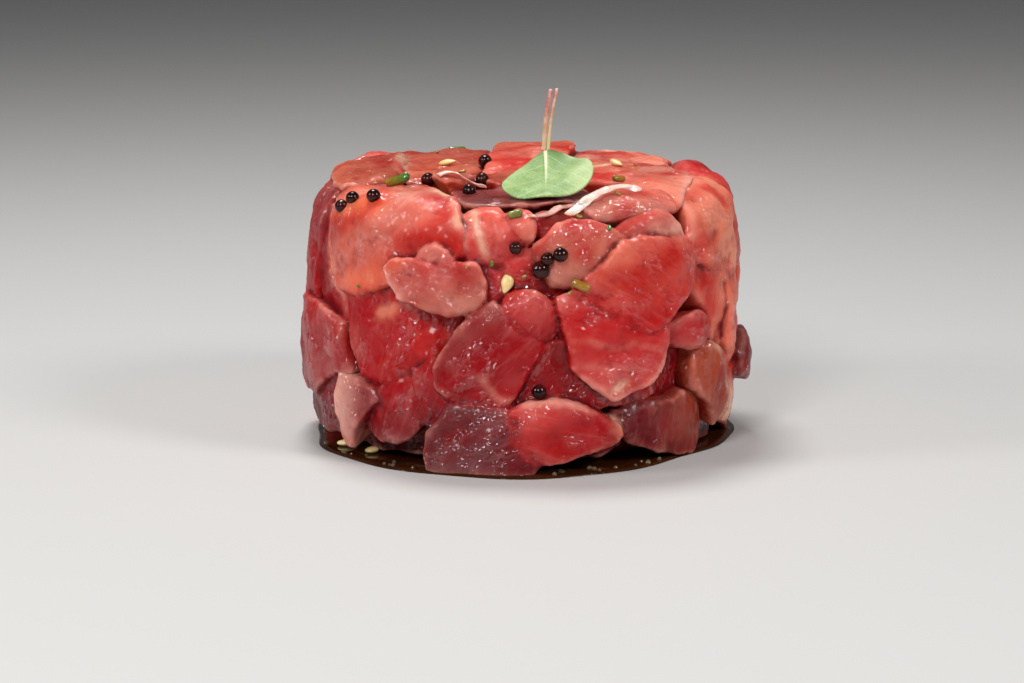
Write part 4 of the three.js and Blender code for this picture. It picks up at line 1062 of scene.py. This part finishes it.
def buildChives():
    snips = []
    for spec in chives:
        model = snipChive(spec)
        skin = onTop(*spec["top"]) if "top" in spec else onWall(*spec["wall"])
        place, up = restOn(skin, spec["long"] * chiveMake["near"])
        seat = place + up * spec["radius"] * chiveMake["lift"] * mm
        snips.append(setDown(model, seat, up, spec["turn"]))
        bpy.data.objects.remove(model)
    return joinPieces(snips, "chive_snips")


shallots = [
    {"route": [(7.4, -34.6), (9.2, -32.2), (11, -29.8), (13.5, -26.4), (16, -24.6), (18.6, -26)],
     "wide": 2.3, "thick": 0.9, "pink": 0.1},
    {"route": [(0.8, -36), (3.4, -34), (6, -31), (8.4, -27.4), (10.6, -23.6)],
     "wide": 2, "thick": 0.7, "pink": 0.45},
    {"route": [(-13.6, -11.4), (-11.8, -10.4), (-9.6, -11.6), (-7.2, -14), (-5.6, -16.4)],
     "wide": 1.8, "thick": 0.7, "pink": 0.25},
]


shallotMake = {"steps": 4, "sides": 8, "near": 0.8, "lift": 0.7, "folds": (1.6, 0.35)}


# a strip of shallot: a flat section extruded step by step along its route, then rounded
def sliceShallot(spec):
    route = []
    stops = np.array(spec["route"], float)
    steps = shallotMake["steps"] * (len(stops) - 1)
    for i in range(steps + 1):
        f = i / shallotMake["steps"]
        flat = [np.interp(f, range(len(stops)), stops[:, axis]) for axis in (0, 1)]
        place, up = restOn(onTop(*flat), shallotMake["near"])
        route.append(place + up * spec["thick"] * shallotMake["lift"] * mm)
    smoothRoute = [sum(route[max(0, i - 2):i + 3], Vector()) / len(route[max(0, i - 2):i + 3])
                   for i in range(len(route))]
    deselectAll()
    bpy.ops.mesh.primitive_circle_add(vertices=shallotMake["sides"], radius=0.5 * mm, fill_type="NGON")
    piece = bpy.context.object
    places = readPlaces(piece) / mm * np.array([spec["thick"], spec["wide"], 1])
    first = (smoothRoute[1] - smoothRoute[0]).normalized()
    side = first.cross(Vector((0, 0, 1))).normalized()
    up = side.cross(first)
    writePlaces(piece, [smoothRoute[0] + (up * x + side * y) * mm for x, y, z in places])
    bpy.ops.object.mode_set(mode="EDIT")
    bpy.ops.mesh.select_all(action="SELECT")
    for before, after in zip(smoothRoute[:-1], smoothRoute[1:]):
        bpy.ops.mesh.extrude_region_move(TRANSFORM_OT_translate={"value": after - before})
    bpy.ops.mesh.select_all(action="SELECT")
    bpy.ops.mesh.normals_make_consistent(inside=False)
    bpy.ops.object.mode_set(mode="OBJECT")
    applyModifier(piece, "SUBSURF", levels=2, render_levels=2)
    applyModifier(piece, "DISPLACE", texture=cloudTexture("shallot_folds", shallotMake["folds"][0], 1),
                  strength=shallotMake["folds"][1] * mm)
    paint(piece, "pink", "FLOAT", "value", np.full(len(piece.data.vertices), spec["pink"]))
    smoothShade(piece)
    return piece


def buildShallots():
    return joinPieces([sliceShallot(spec) for spec in shallots], "shallot_strips")


# flecks of herb and spice no bigger than a pinhead: place, size and ripeness
crumbs = {
    "shape": (1.3, 0.8, 0.5), "ragged": (0.7, 0.5), "near": 0.3, "lift": 0.15,
    "wall": [(-4.9, 34.7, 0.8, 0.3), (0.5, 32.7, 0.75, 1.0), (14.4, 39.6, 0.8, 0.1), (9.8, 41.9, 0.9, 0.7),
             (-29.2, 28.7, 0.6, 0.3), (7.6, 29.4, 0.7, 0.9), (-8.4, 33.2, 0.5, 0.9), (88, 30, 0.8, 0.3),
             (124, 28, 0.9, 0.8), (-70, 30, 0.7, 0.4), (150, 38, 0.8, 0.2)],
    "top": [(15.2, -27, 0.8, 1.1), (-9.4, -6, 1.1, 1.3), (19, 6, 0.6, 0.8), (-14, 20, 0.7, 1.2)],
}


def buildCrumbs():
    deselectAll()
    bpy.ops.mesh.primitive_ico_sphere_add(subdivisions=3, radius=0.5 * mm)
    model = bpy.context.object
    bpy.ops.object.mode_set(mode="EDIT")
    bpy.ops.mesh.select_all(action="SELECT")
    bpy.ops.transform.resize(value=crumbs["shape"], center_override=(0, 0, 0))
    bpy.ops.object.mode_set(mode="OBJECT")
    applyModifier(model, "DISPLACE", texture=cloudTexture("crumb_shape", crumbs["ragged"][0], 1),
                  strength=crumbs["ragged"][1] * mm)
    smoothShade(model)
    bits = []
    for skinAt, spots in ((onWall, crumbs["wall"]), (onTop, crumbs["top"])):
        for a, b, size, ripe in spots:
            place, up = restOn(skinAt(a, b), crumbs["near"])
            bit = setDown(model, place + up * crumbs["lift"] * mm, up, a, size)
            paint(bit, "ripe", "FLOAT", "value", np.full(len(bit.data.vertices), ripe))
            bits.append(bit)
    bpy.data.objects.remove(model)
    return joinPieces(bits, "herb_crumbs")


# the leaf: its outline is millimetres across and along the blade, from the stem
leaf = {
    "base": (4.05, -9.5, 49.8),
    "outline": [(0, 0), (1.3, 1.3), (3.7, 2.5), (6.3, 4.3), (7.7, 6.5), (8, 9.2), (7.2, 12.8), (5.2, 15.9),
                (2.5, 17.5), (-0.8, 18.2), (-4.2, 18), (-6.8, 16.8), (-7.6, 15), (-5.9, 11.1), (-3.3, 6.7),
                (-1.3, 3)],
    "slope": 0.325, "wave": 0.3, "cup": 0.008, "thick": 0.4, "gap": 0.35,
    "midrib": 14, "ribHigh": 0.12, "ribHalf": 0.35, "waveStart": 4, "voxel": 0.15,
}


def bladeHeight(across, along):
    wave = leaf["wave"] * np.sin(0.7 * across + 0.45 * along)
    return (leaf["base"][2] - leaf["slope"] * along + leaf["cup"] * across ** 2
            + wave * np.minimum(1, along / leaf["waveStart"]))


def buildBlade():
    outline = np.array(leaf["outline"], float)[::-1]
    deselectAll()
    bpy.ops.mesh.primitive_circle_add(vertices=len(outline), radius=mm, fill_type="NGON")
    piece = bpy.context.object
    writePlaces(piece, np.column_stack([outline * mm, np.zeros(len(outline))]))
    applyModifier(piece, "SUBSURF", levels=3, render_levels=3)
    applyModifier(piece, "SOLIDIFY", thickness=leaf["thick"] * mm, offset=1)
    applyModifier(piece, "REMESH", mode="VOXEL", voxel_size=leaf["voxel"] * mm)
    applyModifier(piece, "SMOOTH", factor=0.5, iterations=3)
    places = readPlaces(piece) / mm
    lift = places[:, 2]
    flat = places[:, :2]
    across, along = flat[:, 0], flat[:, 1]
    paint(piece, "blade", "FLOAT_VECTOR", "vector", np.column_stack([across, along, across * 0]) * mm)
    x = leaf["base"][0] + across
    y = leaf["base"][1] - along * math.cos(math.atan(leaf["slope"]))
    z = bladeHeight(across, along)
    rib = np.exp(-(across / leaf["ribHalf"]) ** 2) * np.clip(1 - along / leaf["midrib"], 0, 1) ** 0.5
    z -= leaf["ribHigh"] * rib
    ground = np.array([groundBelow(px * mm, py * mm) / mm for px, py in zip(x, y)])
    z = np.maximum(z, ground + leaf["gap"] * 0.6)
    writePlaces(piece, np.column_stack([x, y, z + lift]) * mm)
    smoothShade(piece)
    return joinPieces([piece], "leaf_blade")


stems = {
    "leaf_stem_pink": {"foot": (-0.25, 0, -0.4), "top": (0.9, 0.5, 9.7), "radius": 0.42},
    "leaf_stem_green": {"foot": (0.45, 0, -0.4), "top": (1.9, 0.7, 9.8), "radius": 0.32},
}


stemMake = {"steps": 12, "sides": 12, "bow": (-0.25, 0.3, 0), "swell": (0.985, 0.05, 2.1), "edge": 0.12}


def buildStem(name, spec):
    base = Vector(leaf["base"])
    foot, top = base + Vector(spec["foot"]), base + Vector(spec["top"])
    steps = stemMake["steps"]
    bow = Vector(stemMake["bow"])
    route = []
    for i in range(steps + 1):
        f = i / steps
        route.append((foot.lerp(top, f) + bow * math.sin(math.pi * f)) * mm)
    deselectAll()
    bpy.ops.mesh.primitive_circle_add(vertices=stemMake["sides"], radius=spec["radius"] * mm,
                                      fill_type="NGON", location=route[0])
    piece = bpy.context.object
    bpy.ops.object.transform_apply(location=True, rotation=True, scale=True)
    bpy.ops.object.mode_set(mode="EDIT")
    bpy.ops.mesh.select_all(action="SELECT")
    for i, (before, after) in enumerate(zip(route[:-1], route[1:])):
        bpy.ops.mesh.extrude_region_move(TRANSFORM_OT_translate={"value": after - before})
        least, more, turn = stemMake["swell"]
        swell = least + more * math.sin(turn * i)
        bpy.ops.transform.resize(value=(swell, swell, 1))
    bpy.ops.mesh.select_all(action="SELECT")
    bpy.ops.mesh.normals_make_consistent(inside=False)
    bpy.ops.object.mode_set(mode="OBJECT")
    applyModifier(piece, "BEVEL", width=stemMake["edge"] * mm, segments=2, limit_method="ANGLE")
    applyModifier(piece, "SUBSURF", levels=1, render_levels=1)
    smoothShade(piece)
    return joinPieces([piece], name)


# dressing that has run out round the foot, and the froth in it
pool = {
    "reach": 35.6, "wander": 1.8, "front": 3.4, "thick": 0.45, "steps": 140, "rings": (0.5, 0.8, 2.4),
    "lip": 0.12, "roundOver": 1.6,
    "waves": [(1, 3, 0.6), (0.6, 5, 2.1), (0.4, 11, 0)],  # height, count round the rim and start
}
bubbles = {"count": 46, "seed": 11, "size": (0.2, 0.5), "reach": (34.5, 40), "front": 0.75, "spread": 0.75}


def poolEdge(angle):
    wander = sum(high * math.sin(times * angle + start) for high, times, start in pool["waves"]) / 2
    front = max(0, math.cos(angle + math.pi / 2 + 0.15)) ** 2 * pool["front"]
    return pool["reach"] + front + wander * pool["wander"]


def buildPool():
    deselectAll()
    bpy.ops.mesh.primitive_circle_add(vertices=pool["steps"], radius=mm, fill_type="NGON")
    piece = bpy.context.object
    rim = []
    for i in range(pool["steps"]):
        angle = 2 * math.pi * i / pool["steps"]
        reach = poolEdge(angle)
        rim.append((reach * math.cos(angle) * mm, reach * math.sin(angle) * mm, ofGround * mm))
    writePlaces(piece, rim)
    bpy.ops.object.mode_set(mode="EDIT")
    bpy.ops.mesh.select_all(action="SELECT")
    bpy.ops.mesh.extrude_region_move(TRANSFORM_OT_translate={"value": (0, 0, pool["thick"] * mm)})
    for ring in pool["rings"]:
        bpy.ops.mesh.inset(thickness=ring * mm)
    bpy.ops.mesh.select_all(action="SELECT")
    bpy.ops.mesh.normals_make_consistent(inside=False)
    bpy.ops.object.mode_set(mode="OBJECT")
    places = readPlaces(piece) / mm
    reach = np.hypot(places[:, 0], places[:, 1])
    edge = np.array([poolEdge(math.atan2(y, x)) for x, y in places[:, :2]])
    inward = np.clip((edge - reach) / pool["roundOver"], 0, 1)
    raised = places[:, 2] > pool["thick"] / 2
    swell = np.sqrt(inward[raised] * (2 - inward[raised]))
    places[raised, 2] = pool["lip"] + (pool["thick"] - pool["lip"]) * swell
    writePlaces(piece, places * mm)
    smoothShade(piece)
    return joinPieces([piece], "dressing_pool")


def buildBubbles():
    deselectAll()
    bpy.ops.mesh.primitive_uv_sphere_add(segments=14, ring_count=8, radius=mm)
    model = bpy.context.object
    applyModifier(model, "DISPLACE", texture=cloudTexture("bubble_skin", 0.8, 1), strength=0.06 * mm)
    smoothShade(model)
    rolls = random.Random(bubbles["seed"])
    drops = []
    for _ in range(bubbles["count"]):
        inFront = rolls.random() < bubbles["front"]
        angle = rolls.gauss(-math.pi / 2, bubbles["spread"]) if inFront else rolls.uniform(0, 6.28)
        reach = min(rolls.uniform(*bubbles["reach"]), poolEdge(angle) - 1)
        size = rolls.uniform(*bubbles["size"])
        place = Vector((reach * math.cos(angle), reach * math.sin(angle), pool["thick"])) * mm
        drops.append(setDown(model, place, Vector((0, 0, 1)), 0, size))
    bpy.data.objects.remove(model)
    return joinPieces(drops, "dressing_bubbles")


def plainMaterial(name, first, second, scale, roughness, bump=0.0, **extra):
    material, tree, shader = newMaterial(name)
    place = addNode(tree, "ShaderNodeTexCoord").outputs["Object"]
    mottle = noiseNode(tree, place, scale, 3, 0.55)
    mixed = mixColour(tree, mapRange(tree, mottle, 0.35, 0.65), first, second)
    tree.links.new(mixed, shader.inputs["Base Color"])
    if bump:
        grain = addNode(tree, "ShaderNodeGroup", node_tree=wetGrain)
        tree.links.new(place, grain.inputs["Vector"])
        grain.inputs["Grain Size"].default_value = 0.3
        tree.links.new(bumpNode(tree, grain.outputs["Height"], bump, 0.1), shader.inputs["Normal"])
    setShader(shader, Roughness=roughness, **extra)
    return material


def shallotMaterial():
    material, tree, shader = newMaterial("shallot_flesh")
    place = addNode(tree, "ShaderNodeTexCoord").outputs["Object"]
    pink = addNode(tree, "ShaderNodeAttribute", attribute_name="pink").outputs["Fac"]
    mottle = noiseNode(tree, place, 420, 3, 0.55)
    white = mixColour(tree, mottle, srgb(224, 176, 160), srgb(246, 226, 210))
    rosy = mixColour(tree, mottle, srgb(186, 70, 62), srgb(222, 140, 122))
    tree.links.new(mixColour(tree, pink, white, rosy), shader.inputs["Base Color"])
    grain = addNode(tree, "ShaderNodeGroup", node_tree=wetGrain)
    tree.links.new(place, grain.inputs["Vector"])
    grain.inputs["Grain Size"].default_value = 0.8
    tree.links.new(bumpNode(tree, grain.outputs["Height"], 1.0, 0.4), shader.inputs["Coat Normal"])
    setShader(shader, Roughness=0.35, Subsurface_Weight=0.5, Subsurface_Scale=1.5 * mm,
              Coat_Weight=1.0, Coat_Roughness=0.06, Coat_IOR=1.6)
    return material


def chiveMaterial():
    material, tree, shader = newMaterial("chive_green")
    place = addNode(tree, "ShaderNodeTexCoord").outputs["Object"]
    ripe = addNode(tree, "ShaderNodeAttribute", attribute_name="ripe").outputs["Fac"]
    fine = noiseNode(tree, place, 900, 2, 0.6)
    green = mixColour(tree, fine, srgb(22, 84, 24), srgb(58, 128, 38))
    olive = mixColour(tree, fine, srgb(120, 76, 14), srgb(176, 126, 34))
    tree.links.new(mixColour(tree, mapRange(tree, ripe, 0.1, 0.9), green, olive), shader.inputs["Base Color"])
    setShader(shader, Roughness=0.18, Subsurface_Weight=0.2, Subsurface_Scale=0.8 * mm,
              Subsurface_Radius=(0.5, 1.0, 0.3), Coat_Weight=0.6, Coat_Roughness=0.05)
    return material


def leafMaterial():
    material, tree, shader = newMaterial("leaf_green")
    blade = addNode(tree, "ShaderNodeAttribute", attribute_name="blade").outputs["Vector"]
    split = addNode(tree, "ShaderNodeSeparateXYZ")
    tree.links.new(blade, split.inputs[0])
    across = mathNode(tree, "ABSOLUTE", split.outputs["X"])
    along = split.outputs["Y"]
    soft = noiseNode(tree, blade, 260, 3, 0.6)
    fine = noiseNode(tree, blade, 2400, 2, 0.6)
    green = mixColour(tree, mapRange(tree, soft, 0.35, 0.65), srgb(104, 140, 72), srgb(150, 176, 108))
    green = mixColour(tree, mapRange(tree, fine, 0.4, 0.7, 0.0, 0.35), green, srgb(186, 204, 150))
    # painted shade: the blade is darker towards the stem end
    darker = mapRange(tree, along, 9 * mm, 1 * mm, 0.0, 0.8)
    green = mixColour(tree, darker, green, srgb(74, 118, 52))
    # painted light: the blade is lighter towards its right side
    lighter = mapRange(tree, split.outputs["X"], 2.5 * mm, 7.5 * mm, 0.0, 0.5)
    green = mixColour(tree, lighter, green, srgb(190, 202, 146))
    # side veins leave the midrib at a slant
    slant = mathNode(tree, "SUBTRACT", along, mathNode(tree, "MULTIPLY", across, 0.9))
    wander = mathNode(tree, "MULTIPLY", soft, 0.8 * mm)
    slant = mathNode(tree, "ADD", slant, wander)
    vein = mathNode(tree, "PINGPONG", mathNode(tree, "MULTIPLY", slant, 290.0), 0.5)
    veinLine = mapRange(tree, vein, 0.05, 0.0, 0.0, 0.4)
    green = mixColour(tree, veinLine, green, srgb(196, 212, 160))
    ribWide = mapRange(tree, along, 0.0, leaf["midrib"] * mm, 0.34 * mm, 0.05 * mm)
    ribMask = mathNode(tree, "LESS_THAN", across, ribWide)
    ribFade = mapRange(tree, along, leaf["midrib"] * mm, 6 * mm, 0.3, 0.9)
    ribSoft = mathNode(tree, "MULTIPLY", ribMask, ribFade)
    green = mixColour(tree, ribSoft, green, srgb(216, 214, 176))
    tree.links.new(green, shader.inputs["Base Color"])
    sunk = mathNode(tree, "MULTIPLY", veinLine, -0.8)
    height = mathNode(tree, "ADD", sunk, mathNode(tree, "MULTIPLY", fine, 0.5))
    tree.links.new(bumpNode(tree, height, 0.35, 0.15), shader.inputs["Normal"])
    setShader(shader, Roughness=0.42, Subsurface_Weight=0.25, Subsurface_Scale=0.6 * mm,
              Subsurface_Radius=(0.6, 1.0, 0.3), Sheen_Weight=0.05)
    return material


def stemMaterial(name, low, high, cut):
    material, tree, shader = newMaterial(name)
    place = addNode(tree, "ShaderNodeTexCoord").outputs["Object"]
    split = addNode(tree, "ShaderNodeSeparateXYZ")
    tree.links.new(place, split.inputs[0])
    rise = mapRange(tree, split.outputs["Z"], 50 * mm, 58 * mm)
    colour = mixColour(tree, rise, low, high)
    streak = noiseNode(tree, place, 700, 2, 0.5)
    colour = mixColour(tree, mapRange(tree, streak, 0.45, 0.7, 0.0, 0.5), colour, cut)
    tip = mapRange(tree, split.outputs["Z"], 59.0 * mm, 59.8 * mm)
    tree.links.new(mixColour(tree, tip, colour, cut), shader.inputs["Base Color"])
    setShader(shader, Roughness=0.35, Subsurface_Weight=0.3, Subsurface_Scale=0.5 * mm)
    return material


def dressingMaterial(name, colour):
    material, tree, shader = newMaterial(name)
    place = addNode(tree, "ShaderNodeTexCoord").outputs["Object"]
    swirl = noiseNode(tree, place, 90, 2, 0.5)
    darker = tuple(value * 0.6 for value in colour)
    mixed = mixColour(tree, mapRange(tree, swirl, 0.4, 0.65), darker, colour)
    tree.links.new(mixed, shader.inputs["Base Color"])
    setShader(shader, Roughness=0.03, IOR=1.37, Transmission_Weight=0.85)
    return material


print("stage: chunks")
chunkPieces = buildChunks()
corePiece = buildCore()
fleshFinish, coreFinish = fleshMaterial(), coreMaterial()
for piece in chunkPieces:
    dress(piece, fleshFinish)
    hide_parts("tuna_heap")
dress(corePiece, coreFinish)
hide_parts("tuna_heap")

print("stage: toppings")
tunaTree = treeOf(chunkPieces + [corePiece])
herbFinish = chiveMaterial()
toppingPieces = {
    "mustard": (buildMustard(), plainMaterial(
        "mustard_skin", (0.006, 0.001, 0.001), (0.05, 0.006, 0.005), 700, 0.1, 0.1, IOR=1.35)),
    "sesame": (buildSesame(), plainMaterial(
        "sesame_hull", srgb(222, 190, 122), srgb(246, 226, 170), 500, 0.32, 0.3,
        Subsurface_Weight=0.3, Subsurface_Scale=0.8 * mm)),
    "chives": (buildChives(), herbFinish),
    "crumbs": (buildCrumbs(), herbFinish),
    "shallots": (buildShallots(), shallotMaterial()),
}
for piece, finish in toppingPieces.values():
    dress(piece, finish)
    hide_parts("tuna_heap")

print("stage: leaf")
blade = buildBlade()
dress(blade, leafMaterial())
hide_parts("leaf")
stemFinishes = {
    "leaf_stem_pink": (srgb(206, 180, 132), srgb(186, 84, 88), srgb(232, 200, 186)),
    "leaf_stem_green": (srgb(206, 196, 144), srgb(204, 132, 112), srgb(240, 216, 196)),
}
for name, spec in stems.items():
    stem = buildStem(name, spec)
    dress(stem, stemMaterial(name, *stemFinishes[name]))
    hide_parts("leaf")

print("stage: dressing")
poolPiece = buildPool()
dress(poolPiece, dressingMaterial("soy_dressing", srgb(150, 78, 34)))
bubblePiece = buildBubbles()
dress(bubblePiece, dressingMaterial("dressing_froth", srgb(236, 214, 176)))
bpy.data.objects.remove(fibreGuide)

print("stage: studio")
studio = {
    "floor": (0.52, 0.51, 0.495),
    "aim": (0, 0, 0.024),
    "air": (0.93, 0.95, 1.0),
    "top": {"place": (-0.06, 0.14, 0.50), "size": 0.16, "power": 1.9},
    "front": {"place": (-0.14, -0.48, 0.36), "size": 0.17, "power": 1.75},
    "side": {"place": (0.36, -0.26, 0.34), "size": 0.15, "power": 1.3},
    "left": {"place": (-0.42, -0.16, 0.26), "size": 0.14, "power": 0.8},
    "world": 0.10,
}
deselectAll()
bpy.ops.mesh.primitive_plane_add(size=8)
floor = bpy.context.object
floor.name = "floor"
floorFinish, floorTree, floorShader = newMaterial("floor_paper")
setShader(floorShader, Base_Color=studio["floor"] + (1,), Roughness=0.75)
floor.data.materials.append(floorFinish)

target = Vector(studio["aim"])
for name in ("top", "front", "side", "left"):
    spec = studio[name]
    light = bpy.data.lights.new(name, "AREA")
    light.shape = "DISK"
    light.size = spec["size"]
    light.energy = spec["power"]
    lamp = bpy.data.objects.new(name, light)
    lamp.location = spec["place"]
    lamp.rotation_euler = (target - lamp.location).to_track_quat("-Z", "Y").to_euler()
    bpy.context.scene.collection.objects.link(lamp)

world = bpy.data.worlds.new("studio_air")
world.use_nodes = True
world.node_tree.nodes["Background"].inputs["Color"].default_value = studio["air"] + (1,)
world.node_tree.nodes["Background"].inputs["Strength"].default_value = studio["world"]
bpy.context.scene.world = world

# a long lens, a little over the top's height and looking slightly down
view = {"sensor": 36, "lens": 134.1, "place": (-0.0015, -0.6395, 0.1315), "along": (0, 0.9839, -0.1788)}
lens = bpy.data.cameras.new("camera")
lens.sensor_width = view["sensor"]
lens.lens = view["lens"]
lens.clip_start = 0.01
camera = bpy.data.objects.new("camera", lens)
camera.location = view["place"]
camera.rotation_euler = Vector(view["along"]).to_track_quat("-Z", "Y").to_euler()
bpy.context.scene.collection.objects.link(camera)
bpy.context.scene.camera = camera
bpy.context.scene.view_settings.view_transform = "Standard"
